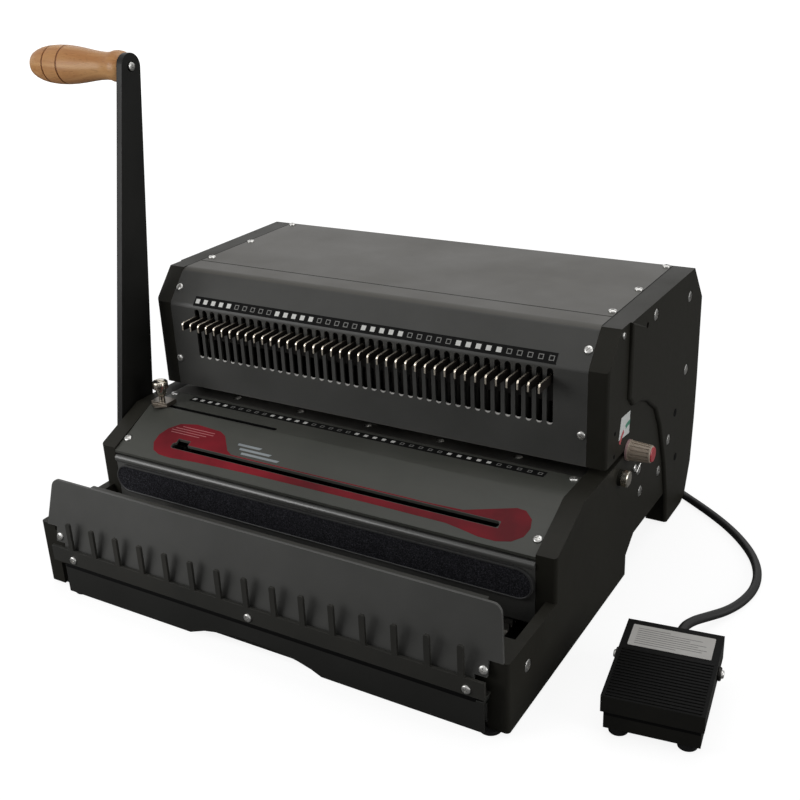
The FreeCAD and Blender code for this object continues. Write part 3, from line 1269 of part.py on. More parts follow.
for hand in (1, -1):
    side_frame(hand)
for build in (side_bolts, shaft_bushes, feet, base_pan, rear_floor, bed_plate, bed_front_panel,
              grip_strip, front_flap, comb_bar, front_skirt, head_front_cover, head_top_cover,
              rear_cover, mark_strips, cover_screws, bed_screws, front_screws, die_plate,
              pin_guide, guide_rods, ram, punch_pins, eccentric_shaft, drive_gear, motor_pinion,
              motor, closer_shaft, closer_pinions, closer_racks, closing_bar, lever_arm,
              lever_grip, grip_bolt, margin_shaft, margin_knob, margin_knob_cap, back_gauge,
              side_guide, thumb_screw, lock_knob, chip_tray, power_inlet, power_switch,
              cord_gland, pedal_base, pedal_plate, pedal_pivots, pedal_feet, pedal_cord):
    build()
for first_pin in range(0, int(number("pin_count")), int(number("tab_set"))):
    tab_set(first_pin)
doc.recompute()

faults = [item.Label for item in doc.Objects if {"Invalid", "Error"} & set(item.State)]
faults += [piece.Label for piece in pieces if piece.Shape.isNull() or not piece.Shape.isValid()]
if faults:
    raise RuntimeError("failed objects: " + ", ".join(faults))
os.makedirs("parts", exist_ok=True)
for piece in pieces:
    piece.Shape.exportStep(os.path.join("parts", piece.Label + ".step"))
print(len(pieces), "pieces")
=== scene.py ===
"""Looks of the desk binding machine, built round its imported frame.

Sizes are millimetres with Y measured back from the front of the side frames, as a fitter would
take them off the machine, and spot() turns them into the frame's metres.
"""
from __future__ import annotations

import json
import logging
import math
from contextlib import contextmanager
from dataclasses import dataclass
from enum import Enum
from typing import Callable, Iterator, Sequence

import bpy
from mathutils import Matrix, Vector

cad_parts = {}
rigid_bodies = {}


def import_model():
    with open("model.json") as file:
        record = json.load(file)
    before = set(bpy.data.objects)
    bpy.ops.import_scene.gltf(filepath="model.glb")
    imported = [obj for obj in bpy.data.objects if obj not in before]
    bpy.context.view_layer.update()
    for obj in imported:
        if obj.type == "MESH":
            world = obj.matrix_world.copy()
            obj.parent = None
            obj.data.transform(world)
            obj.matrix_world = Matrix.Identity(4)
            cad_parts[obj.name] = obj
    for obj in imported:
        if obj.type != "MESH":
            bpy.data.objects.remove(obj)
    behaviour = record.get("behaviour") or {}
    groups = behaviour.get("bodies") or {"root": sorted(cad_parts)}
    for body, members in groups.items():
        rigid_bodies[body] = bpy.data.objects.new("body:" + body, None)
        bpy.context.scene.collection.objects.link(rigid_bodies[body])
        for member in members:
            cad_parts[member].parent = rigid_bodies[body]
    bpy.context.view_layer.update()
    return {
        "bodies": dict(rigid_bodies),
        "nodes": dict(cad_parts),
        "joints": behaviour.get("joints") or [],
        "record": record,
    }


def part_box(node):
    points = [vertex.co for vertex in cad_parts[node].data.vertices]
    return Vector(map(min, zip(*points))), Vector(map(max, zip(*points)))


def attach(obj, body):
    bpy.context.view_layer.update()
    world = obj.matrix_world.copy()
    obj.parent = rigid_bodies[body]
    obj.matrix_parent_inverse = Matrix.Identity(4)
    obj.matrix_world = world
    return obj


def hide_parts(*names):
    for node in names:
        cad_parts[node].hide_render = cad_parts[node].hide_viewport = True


LOG = logging.getLogger("binding_machine")
MM = 0.001
HALF_DEPTH = 108.5
FLOOR_LEVEL = -3.0
PINS = 40
SET = 5
PITCH = 25.4 / 3
TAB_NODES = tuple(f"pull_tabs_{first:02d}_{first + SET - 1:02d}"
                  for first in range(1, PINS + 1, SET))

# Turns a plate drawn in XY so that its X and Y lie along the machine's Y and Z
ON_FLANK = Matrix(((0, 0, 1, 0), (1, 0, 0, 0), (0, 1, 0, 0), (0, 0, 0, 1)))

Point = tuple[float, float, float]
Outline = Sequence[tuple[float, float]]
Test = Callable[[Vector, Vector], bool]


def spot(x: float, y: float, z: float) -> Vector:
    """Return a place on the machine in the frame's metres."""
    return Vector((x, y - HALF_DEPTH, z)) * MM


def pin_shift(index: int) -> Matrix:
    """Return the step along X from the middle of the row of pins to one pin."""
    return Matrix.Translation(((index - (PINS - 1) / 2) * PITCH * MM, 0, 0))


def looking(origin: Vector, out: Point, up: Point = (0, 0, 1)) -> Matrix:
    """Return the matrix that puts a piece's own X axis along out.

    Args:
        origin: Where the piece's own origin goes, in metres.
        out: Direction of the piece's own X axis.
        up: Direction that the piece's own Z axis leans to.

    Returns:
        A rigid matrix.
    """
    first = Vector(out).normalized()
    side = Vector(up).cross(first)
    if side.length < 1e-6:
        side = Vector((0, 1, 0)).cross(first)
    side.normalize()
    turn = Matrix((first, side, first.cross(side))).transposed().to_4x4()
    return Matrix.Translation(origin) @ turn


# Bench work: one piece at a time, with Blender's operators


def deselect() -> None:
    """Leave nothing selected."""
    bpy.ops.object.select_all(action="DESELECT")


def take(piece: bpy.types.Object) -> None:
    """Select one piece alone and make it active."""
    deselect()
    piece.select_set(True)
    bpy.context.view_layer.objects.active = piece


class Element(Enum):
    """What edit mode selects, in the order of its three switches."""

    POINT = "point"
    EDGE = "edge"
    FACE = "face"


@contextmanager
def editing(piece: bpy.types.Object, kind: Element = Element.FACE) -> Iterator[None]:
    """Hold a piece in edit mode, with what pick() chose still selected."""
    take(piece)
    bpy.context.tool_settings.mesh_select_mode = [kind is element for element in Element]
    bpy.ops.object.mode_set(mode="EDIT")
    try:
        yield
    finally:
        bpy.ops.object.mode_set(mode="OBJECT")


def unpick(mesh: bpy.types.Mesh) -> None:
    """Leave nothing of a mesh selected."""
    for part in (mesh.vertices, mesh.edges, mesh.polygons):
        part.foreach_set("select", [False] * len(part))


def pick(piece: bpy.types.Object, test: Test) -> None:
    """Select the faces whose centre and normal pass a test, and nothing else.

    Args:
        piece: The piece, in object mode.
        test: Called with a face's centre and normal.
    """
    mesh = piece.data
    unpick(mesh)
    for face in [face for face in mesh.polygons if test(face.center, face.normal)]:
        face.select = True
        for index in face.vertices:
            mesh.vertices[index].select = True


def pick_edges(piece: bpy.types.Object, test: Test) -> int:
    """Select the edges whose two ends pass a test, and nothing else.

    Args:
        piece: The piece, in object mode.
        test: Called with the places of an edge's ends.

    Returns:
        The number of edges picked.
    """
    mesh = piece.data
    unpick(mesh)
    count = 0
    for edge in mesh.edges:
        first, second = edge.vertices
        if test(mesh.vertices[first].co, mesh.vertices[second].co):
            edge.select = True
            count += 1
    return count


def settle(piece: bpy.types.Object, place: Matrix | None = None) -> bpy.types.Object:
    """Put a piece's place into its mesh and leave its object at the origin."""
    bpy.context.view_layer.update()
    if place is not None:
        piece.matrix_world = place @ piece.matrix_world
        bpy.context.view_layer.update()
    take(piece)
    bpy.ops.object.transform_apply(location=True, rotation=True, scale=True)
    return piece


def apply_all(piece: bpy.types.Object) -> None:
    """Apply every modifier of a piece, in order."""
    take(piece)
    for modifier in list(piece.modifiers):
        bpy.ops.object.modifier_apply(modifier=modifier.name)


def smooth(piece: bpy.types.Object, angle: float = 32.0) -> None:
    """Shade a piece smooth except across edges sharper than angle, in degrees."""
    take(piece)
    bpy.ops.object.shade_smooth_by_angle(angle=math.radians(angle))


def ease(piece: bpy.types.Object, width: float, segments: int = 2, angle: float = 30.0) -> None:
    """Round a piece's sharp edges by width, in millimetres, and shade it."""
    bevel = piece.modifiers.new("ease", "BEVEL")
    bevel.width = width * MM
    bevel.segments = segments
    bevel.limit_method = "ANGLE"
    bevel.angle_limit = math.radians(angle)
    apply_all(piece)
    smooth(piece)


def even(piece: bpy.types.Object) -> None:
    """Lean a rounded piece's normals to its large faces, so that these shade flat."""
    weighted = piece.modifiers.new("even", "WEIGHTED_NORMAL")
    weighted.keep_sharp = True
    apply_all(piece)


def outward(piece: bpy.types.Object) -> None:
    """Merge doubled points and turn every face outwards."""
    with editing(piece):
        bpy.ops.mesh.select_all(action="SELECT")
        bpy.ops.mesh.remove_doubles(threshold=1e-6)
        bpy.ops.mesh.normals_make_consistent(inside=False)


def slab(name: str, size: Point) -> bpy.types.Object:
    """Return a block of this size in millimetres, round the origin."""
    deselect()
    bpy.ops.mesh.primitive_cube_add(size=1)
    piece = bpy.context.object
    piece.name = piece.data.name = name
    piece.scale = Vector(size) * MM
    return settle(piece)


def block(name: str, low: Point, high: Point) -> bpy.types.Object:
    """Return a block between two corners given in machine millimetres."""
    bottom, top = spot(*low), spot(*high)
    return settle(slab(name, tuple((top - bottom) / MM)),
                  Matrix.Translation((bottom + top) / 2))


def turned(name: str, profile: Outline, steps: int) -> bpy.types.Object:
    """Return a piece spun about its own X axis.

    Args:
        name: The piece's name.
        profile: Distance along the axis and radius, in millimetres, from end to end.
        steps: Number of columns round the axis.

    Returns:
        The piece, at the origin.
    """
    deselect()
    bpy.ops.mesh.primitive_plane_add(size=0.01, location=(0, 0, 0))
    piece = bpy.context.object
    piece.name = piece.data.name = name
    spots = [Vector((along, 0, radius)) * MM for along, radius in profile]
    with editing(piece, Element.POINT):
        bpy.ops.mesh.select_all(action="SELECT")
        bpy.ops.mesh.merge(type="CENTER")
        bpy.ops.transform.translate(value=spots[0])
        for before, after in zip(spots, spots[1:]):
            bpy.ops.mesh.extrude_region_move(TRANSFORM_OT_translate={"value": after - before})
        bpy.ops.mesh.select_all(action="SELECT")
        bpy.ops.mesh.spin(steps=steps, angle=math.tau, center=(0, 0, 0), axis=(1, 0, 0))
    outward(piece)
    return piece


def cut_with(piece: bpy.types.Object, cutter: bpy.types.Object) -> None:
    """Take a cutter's shape out of a piece, and remove the cutter."""
    cut = piece.modifiers.new("cut", "BOOLEAN")
    cut.operation = "DIFFERENCE"
    cut.object = cutter
    apply_all(piece)
    bpy.data.objects.remove(cutter)


def joined(pieces: Sequence[bpy.types.Object], name: str) -> bpy.types.Object:
    """Join pieces into one with this name."""
    deselect()
    for piece in pieces:
        piece.select_set(True)
    bpy.context.view_layer.objects.active = pieces[0]
    if len(pieces) > 1:
        bpy.ops.object.join()
    result = bpy.context.view_layer.objects.active
    result.name = result.data.name = name
    return result


def stamped(pattern: bpy.types.Object, places: Sequence[Matrix], name: str) -> bpy.types.Object:
    """Copy a pattern to each place, each copy with its own mesh, and join the copies."""
    copies = []
    for place in places:
        mesh = pattern.data.copy()
        mesh.transform(place)
        copy = bpy.data.objects.new(name, mesh)
        bpy.context.scene.collection.objects.link(copy)
        copies.append(copy)
    bpy.data.objects.remove(pattern)
    return joined(copies, name)


def flat_shape(name: str, outlines: Sequence[Outline], thickness: float) -> bpy.types.Object:
    """Return a thin plate cut to outlines in its own XY plane.

    Args:
        name: The plate's name.
        outlines: Closed outlines in millimetres; one inside another is a hole.
        thickness: The plate's thickness in millimetres.

    Returns:
        The plate, its underside at its own Z zero.
    """
    curve = bpy.data.curves.new(name, "CURVE")
    curve.dimensions = "2D"
    curve.fill_mode = "BOTH"
    curve.extrude = thickness * MM / 2
    for outline in outlines:
        spline = curve.splines.new("POLY")
        spline.points.add(len(outline) - 1)
        for point, (x, y) in zip(spline.points, outline):
            point.co = (x * MM, y * MM, 0, 1)
        spline.use_cyclic_u = True
    shape = bpy.data.objects.new(name, curve)
    bpy.context.scene.collection.objects.link(shape)
    take(shape)
    bpy.ops.object.convert(target="MESH")
    plate = bpy.context.object
    plate.name = plate.data.name = name
    plate.data.transform(Matrix.Translation((0, 0, thickness * MM / 2)))
    outward(plate)
    return plate


def rounded_box(left: float, right: float, low: float, high: float, radius: float,
                steps: int = 6) -> list[tuple[float, float]]:
    """Return the outline of a rectangle with round corners, anticlockwise."""
    corners = ((right - radius, high - radius, 0), (left + radius, high - radius, 90),
               (left + radius, low + radius, 180), (right - radius, low + radius, 270))
    points = []
    for x, y, start in corners:
        for step in range(steps + 1):
            angle = math.radians(start + 90 * step / steps)
            points.append((x + radius * math.cos(angle), y + radius * math.sin(angle)))
    return points


# Finishes


def linear(red: int, green: int, blue: int) -> tuple[float, float, float, float]:
    """Return a screen colour, 0 to 255, as the shader's linear colour."""
    def channel(value: int) -> float:
        """Return one channel in linear light."""
        share = value / 255
        return share / 12.92 if share <= 0.04045 else ((share + 0.055) / 1.055) ** 2.4

    return (channel(red), channel(green), channel(blue), 1.0)


class Wiring:
    """Nodes and links of one node tree."""

    def __init__(self, tree: bpy.types.NodeTree) -> None:
        """Keep the tree."""
        self.tree = tree

    def add(self, kind: str, settings: dict | None = None, **inputs: object) -> bpy.types.Node:
        """Add a node.

        Args:
            kind: The node's type name without its ShaderNode prefix.
            settings: Attributes to set on the node.
            inputs: Values or output sockets by input name, with _ for a blank.

        Returns:
            The node.
        """
        node = self.tree.nodes.new("ShaderNode" + kind)
        for key, value in (settings or {}).items():
            setattr(node, key, value)
        for key, value in inputs.items():
            self.feed(node.inputs[key.replace("_", " ")], value)
        return node

    def feed(self, socket: bpy.types.NodeSocket, value: object) -> None:
        """Set an input to a value or link an output to it."""
        if isinstance(value, bpy.types.NodeSocket):
            self.tree.links.new(value, socket)
        else:
            socket.default_value = value

    def blend(self, factor: object, first: object, second: object) -> bpy.types.NodeSocket:
        """Mix two colours by a factor and return the result's socket."""
        node = self.tree.nodes.new("ShaderNodeMix")
        node.data_type = "RGBA"
        for index, value in ((0, factor), (6, first), (7, second)):
            self.feed(node.inputs[index], value)
        return node.outputs[2]

    def math(self, operation: str, first: object, second: object = 0.0) -> bpy.types.NodeSocket:
        """Combine two numbers and return the result's socket."""
        node = self.tree.nodes.new("ShaderNodeMath")
        node.operation = operation
        self.feed(node.inputs[0], first)
        self.feed(node.inputs[1], second)
        return node.outputs[0]

    def ranged(self, value: object, low: float, high: float, to_low: float = 0.0,
               to_high: float = 1.0) -> bpy.types.NodeSocket:
        """Map a value from one range to another, clamped."""
        node = self.add("MapRange", Value=value, From_Min=low, From_Max=high,
                        To_Min=to_low, To_Max=to_high)
        return node.outputs["Result"]

    def place(self) -> bpy.types.NodeSocket:
        """Return the socket that gives a place on the piece in metres."""
        return self.add("TexCoord").outputs["Object"]

    def stretched(self, place: bpy.types.NodeSocket, scale: Point, **noise: float
                  ) -> bpy.types.NodeSocket:
        """Return noise whose cells per metre differ along X, Y and Z."""
        mapped = self.add("Mapping", Vector=place, Scale=scale)
        return self.add("TexNoise", Vector=mapped.outputs[0], Scale=1.0, **noise).outputs[0]

    def bump(self, shader: bpy.types.Node, height: bpy.types.NodeSocket, depth: float) -> None:
        """Roughen a shader's surface by a height, to a depth in millimetres."""
        bump = self.add("Bump", Height=height, Strength=1.0, Distance=depth * MM)
        self.feed(shader.inputs["Normal"], bump.outputs["Normal"])


def group(name: str, inputs: dict[str, float], outputs: Sequence[str]
          ) -> tuple[bpy.types.NodeTree, Wiring, bpy.types.Node, bpy.types.Node]:
    """Start a shader node group with named number sockets.

    Args:
        name: The group's name.
        inputs: Input names with their usual values.
        outputs: Output names.

    Returns:
        The tree, its wiring, its input node and its output node.
    """
    tree = bpy.data.node_groups.new(name, "ShaderNodeTree")
    for label, value in inputs.items():
        tree.interface.new_socket(name=label, in_out="INPUT",
                                  socket_type="NodeSocketFloat").default_value = value
    for label in outputs:
        tree.interface.new_socket(name=label, in_out="OUTPUT", socket_type="NodeSocketFloat")
    wiring = Wiring(tree)
    return tree, wiring, tree.nodes.new("NodeGroupInput"), tree.nodes.new("NodeGroupOutput")


class Effects:
    """The shader node groups that several finishes share."""

    def __init__(self) -> None:
        """Build the groups once."""
        self.coat = self.coat_grain()
        self.wear = self.edge_wear()
        self.dust = self.settled_dust()

    @staticmethod
    def coat_grain() -> bpy.types.NodeTree:
        """Return the fine grain and broad mottle of a sprayed or moulded surface."""
        tree, wires, given, result = group("coat_grain", {"Scale": 900.0, "Mottle Scale": 14.0},
                                           ("Height", "Mottle"))
        place = wires.place()
        fine = wires.add("TexNoise", Vector=place, Scale=given.outputs["Scale"], Detail=2.0)
        broad = wires.add("TexNoise", Vector=place, Scale=given.outputs["Mottle Scale"],
                          Detail=4.0, Roughness=0.6)
        wires.feed(result.inputs["Height"], fine.outputs[0])
        wires.feed(result.inputs["Mottle"], wires.ranged(broad.outputs[0], 0.32, 0.68))
        return tree

    @staticmethod
    def edge_wear() -> bpy.types.NodeTree:
        """Return a mask of handled edges, broken up by noise."""
        tree, wires, given, result = group("edge_wear", {"Radius": 0.0006, "Amount": 0.5},
                                           ("Mask",))
        rounded = wires.add("Bevel", {"samples": 4}, Radius=given.outputs["Radius"])
        plain = wires.add("NewGeometry").outputs["Normal"]
        dot = wires.add("VectorMath", {"operation": "DOT_PRODUCT"})
        wires.feed(dot.inputs[0], rounded.outputs[0])
        wires.feed(dot.inputs[1], plain)
        edge = wires.ranged(wires.math("SUBTRACT", 1.0, dot.outputs["Value"]), 0.02, 0.22)
        noise = wires.add("TexNoise", Vector=wires.place(), Scale=160.0, Detail=3.0)
        broken = wires.ranged(noise.outputs[0], 0.35, 0.62)
        mask = wires.math("MULTIPLY", wires.math("MULTIPLY", edge, broken),
                          given.outputs["Amount"])
        wires.feed(result.inputs["Mask"], mask)
        return tree

    @staticmethod
    def settled_dust() -> bpy.types.NodeTree:
        """Return a mask of light dust and wiping marks on faces that look up."""
        tree, wires, given, result = group("settled_dust", {"Amount": 0.2}, ("Mask",))
        normal = wires.add("SeparateXYZ", None,
                           Vector=wires.add("TexCoord").outputs["Normal"]).outputs["Z"]
        facing = wires.ranged(normal, 0.3, 1.0)
        noise = wires.stretched(wires.place(), (6.0, 22.0, 22.0), Detail=6.0, Roughness=0.65)
        patch = wires.ranged(noise, 0.42, 0.72)
        mask = wires.math("MULTIPLY", wires.math("MULTIPLY", facing, patch),
                          given.outputs["Amount"])
        wires.feed(result.inputs["Mask"], mask)
        return tree


@dataclass(frozen=True)
class Coat:
    """A painted, plated or moulded finish.

    colour is a screen colour; grain is the bump's depth in millimetres at grain_scale cells per
    metre; mottle, wear and dust are shares from 0 to 1.
    """

    name: str
    colour: tuple[int, int, int]
    roughness: float
    metallic: float = 0.0
    grain: float = 0.01
    grain_scale: float = 900.0
    mottle: float = 0.12
    wear: float = 0.0
    wear_colour: tuple[int, int, int] = (150, 148, 144)
    dust: float = 0.0
    dust_colour: tuple[int, int, int] = (150, 146, 138)
    coat: float = 0.0
    specular: float = 0.5

    def start(self, effects: Effects) -> tuple[bpy.types.Material, Wiring, bpy.types.Node]:
        """Return the material, its wiring and its Principled shader, with the base in place."""
        material = bpy.data.materials.new(self.name)
        material.use_nodes = True
        wires = Wiring(material.node_tree)
        shader = material.node_tree.nodes["Principled BSDF"]
        for label, value in (("Metallic", self.metallic), ("Coat Weight", self.coat),
                             ("Coat Roughness", 0.2), ("Specular IOR Level", self.specular)):
            shader.inputs[label].default_value = value
        grain = wires.add("Group", {"node_tree": effects.coat}, Scale=self.grain_scale)
        dark = linear(*(int(c * (1 - self.mottle)) for c in self.colour))
        light = linear(*(min(255, int(c * (1 + self.mottle))) for c in self.colour))
        colour = wires.blend(grain.outputs["Mottle"], dark, light)
        if self.dust:
            dust = wires.add("Group", {"node_tree": effects.dust}, Amount=self.dust)
            colour = wires.blend(dust.outputs["Mask"], colour, linear(*self.dust_colour))
        if self.wear:
            wear = wires.add("Group", {"node_tree": effects.wear}, Amount=self.wear)
            colour = wires.blend(wear.outputs["Mask"], colour, linear(*self.wear_colour))
        wires.feed(shader.inputs["Base Color"], colour)
        rough = wires.ranged(grain.outputs["Mottle"], 0, 1, self.roughness * 0.88,
                             min(1.0, self.roughness * 1.12))
        wires.feed(shader.inputs["Roughness"], rough)
        wires.bump(shader, grain.outputs["Height"], self.grain)
        return material, wires, shader

    def build(self, effects: Effects) -> bpy.types.Material:
        """Return the finished material."""
        return self.start(effects)[0]


@dataclass(frozen=True)
class Brushed(Coat):
    """Steel with drawn lines along X."""

    line_depth: float = 0.01

    def build(self, effects: Effects) -> bpy.types.Material:
        """Return the material with its drawn lines."""
        material, wires, shader = self.start(effects)
        lines = wires.stretched(wires.place(), (30.0, 1500.0, 1500.0), Detail=2.0)
        wires.bump(shader, lines, self.line_depth)
        return material


@dataclass(frozen=True)
class Looped(Coat):
    """The closer's fuzzy loop strip: close curled fibres, with paler specks painted on as glints.
    """

    # Colour of the painted glints on the fibres.
    glints: tuple[int, int, int] = (74, 73, 78)
    pile: float = 0.25

    def build(self, effects: Effects) -> bpy.types.Material:
        """Return the strip's material."""
        material, wires, shader = self.start(effects)
        place = wires.place()
        cells = wires.add("TexVoronoi", {"feature": "SMOOTH_F1"}, Vector=place, Scale=950.0,
                          Randomness=0.9)
        curls = wires.add("TexNoise", Vector=place, Scale=520.0, Detail=4.0,
                          Distortion=2.5)
        fibre = wires.ranged(curls.outputs[0], 0.42, 0.66)
        # Pale specks where fibres and cell centres meet: painted glints of the strip's sparkle.
        glint = wires.math("MULTIPLY", fibre, wires.ranged(cells.outputs["Distance"], 0.7, 0.1))
        wires.feed(shader.inputs["Base Color"],
                   wires.blend(glint, linear(*self.colour), linear(*self.glints)))
        wires.bump(shader, wires.math("ADD", fibre, cells.outputs["Distance"]), self.pile)
        return material


@dataclass(frozen=True)
class Beech(Coat):
    """Varnished beech turned along X, with burnt rings in two grooves."""

    rings: tuple[float, ...] = (-282.5, -299.6)
    ring_width: float = 1.2
    burnt: tuple[int, int, int] = (120, 70, 38)
    dark_grain: tuple[int, int, int] = (192, 134, 82)
    pale_grain: tuple[int, int, int] = (218, 166, 110)
    fleck: tuple[int, int, int] = (132, 84, 46)

    def build(self, effects: Effects) -> bpy.types.Material:
        """Return the grip's material."""
        material, wires, shader = self.start(effects)
        place = wires.place()
        streaks = wires.stretched(place, (9.0, 130.0, 130.0), Detail=5.0, Roughness=0.6,
                                  Distortion=0.6)
        flecks = wires.stretched(place, (130.0, 1500.0, 1500.0), Detail=1.0)
        tone = wires.blend(wires.ranged(streaks, 0.35, 0.65), linear(*self.dark_grain),
                           linear(*self.pale_grain))
        tone = wires.blend(wires.ranged(flecks, 0.6, 0.75, 0.0, 0.45), tone,
                           linear(*self.fleck))
        along = wires.add("SeparateXYZ", Vector=place).outputs["X"]
        for ring in self.rings:
            off = wires.math("ABSOLUTE", wires.math("SUBTRACT", along, ring * MM))
            mask = wires.ranged(off, self.ring_width * 0.5 * MM, self.ring_width * 0.9 * MM,
                                0.85, 0.0)
            tone = wires.blend(mask, tone, linear(*self.burnt))
        wires.feed(shader.inputs["Base Color"], tone)
        wires.bump(shader, streaks, 0.05)
        return material


COATS: tuple[Coat, ...] = (
    Coat("frame_black", (38, 37, 32), 0.5, grain=0.02, wear=0.3, dust=0.03, mottle=0.07,
         wear_colour=(74, 72, 67), specular=0.15),
    # cover_grey and front_grey are one paint in two copies; cover_grey, on faces that look up, is
    # a touch lighter, as painted light from above.
    Coat("cover_grey", (77, 75, 70), 0.5, grain=0.012, wear=0.35, dust=0.04, mottle=0.03,
         specular=0.4),
    Coat("front_grey", (73, 73, 71), 0.45, grain=0.012, wear=0.3, dust=0.03, mottle=0.05,
         specular=0.35),
    # Pale colours that paint the light caught at the feet of the tab slots: a highlight on the
    # up-facing cut edge, which is also bare metal, and a glint on each slot's round end.
    Coat("lit_slot_edge", (150, 149, 146), 0.4, mottle=0.1),
    Coat("slot_glint", (226, 225, 220), 0.35, mottle=0.05),
    # Painted shade: a near-black laid where only shade falls, in seams and holes, on the guide
    # slot's walls and under edges.
    Coat("painted_shade", (9, 9, 9), 0.8, specular=0.1),
    Coat("bed_grey", (69, 70, 65), 0.45, grain=0.012, wear=0.3, dust=0.05, mottle=0.05,
         specular=0.35),
    Coat("bead_grey", (84, 84, 82), 0.3, grain=0.008, wear=0.3, mottle=0.05, specular=0.7),
    Coat("sheet_black", (38, 38, 36), 0.42, grain=0.012, wear=0.4, dust=0.02, mottle=0.06,
         wear_colour=(92, 90, 86), specular=0.3),
    # flap_grey is a touch lighter than front_grey, to paint in the brighter light on the leaning
    # flap.
    Coat("flap_grey", (78, 78, 76), 0.46, grain=0.012, wear=0.45, dust=0.02, mottle=0.05,
         specular=0.35),
    Coat("comb_black", (51, 50, 47), 0.45, grain=0.012, wear=0.35, mottle=0.06,
         wear_colour=(96, 94, 90), specular=0.3),
    # The strip's pale specks are painted glints.
    Looped("grip_strip", (28, 28, 32), 0.9, specular=0.15, glints=(92, 92, 100)),
    Coat("strip_border", (60, 60, 60), 0.5),
    Coat("marks", (13, 13, 13), 0.6, specular=0.1),
    Coat("mark_white", (228, 228, 224), 0.6, mottle=0.03),
    Coat("mark_dim", (136, 136, 133), 0.6, mottle=0.05),
    Coat("print_red", (118, 26, 36), 0.5, mottle=0.2, specular=0.15),
    Coat("print_pink", (178, 112, 114), 0.5),
    Coat("print_grey", (140, 146, 149), 0.5),
    Coat("screw_steel", (208, 207, 204), 0.33, metallic=1.0, grain=0.004, mottle=0.05),
    Brushed("tool_steel", (140, 138, 134), 0.35, metallic=1.0, mottle=0.06),
    Coat("blackened_steel", (46, 44, 42), 0.4, metallic=0.6, mottle=0.15),
    Coat("tab_rim", (222, 212, 196), 0.25, metallic=1.0, grain=0.004, mottle=0.06),
    Coat("tab_side", (34, 30, 27), 0.4, metallic=0.2, mottle=0.2),
    Coat("motor_case", (92, 94, 98), 0.45, metallic=0.4),
    Coat("bush_bronze", (176, 142, 84), 0.35, metallic=1.0),
    Coat("rubber", (19, 19, 19), 0.75, grain=0.03, grain_scale=1600, specular=0.25),
    Coat("cord_black", (26, 26, 26), 0.5, grain=0.015, grain_scale=1800, specular=0.4),
    Coat("lever_black", (20, 20, 18), 0.45, grain=0.015, wear=0.3, wear_colour=(70, 68, 62),
         specular=0.3),
    Beech("grip_wood", (188, 132, 80), 0.42, coat=0.12, grain=0.0, specular=0.35),
    Coat("knob_grey", (178, 164, 148), 0.5, mottle=0.08),
    Coat("knob_red", (190, 56, 66), 0.35, coat=0.3),
    Coat("knob_ring", (206, 170, 170), 0.5),
    Coat("knurled_steel", (212, 205, 192), 0.2, metallic=1.0, grain=0.004),
    Coat("guide_steel", (112, 105, 96), 0.32, metallic=0.8, grain=0.006, wear=0.3,
         wear_colour=(212, 206, 196)),
    Coat("black_plastic", (24, 24, 25), 0.5, grain=0.02, grain_scale=1400),
    Coat("pedal_black", (9, 9, 8), 0.55, grain=0.03, grain_scale=1500, specular=0.1),
    Coat("pedal_steel", (26, 25, 22), 0.5, grain=0.02, specular=0.2),
    Coat("label_pale", (192, 190, 186), 0.5, mottle=0.03),
    Coat("label_line", (104, 103, 102), 0.55),
    Coat("sticker_white", (226, 229, 227), 0.5, mottle=0.03),
    Coat("sticker_red", (196, 92, 96), 0.5),
    Coat("sticker_green", (84, 150, 126), 0.5),
)


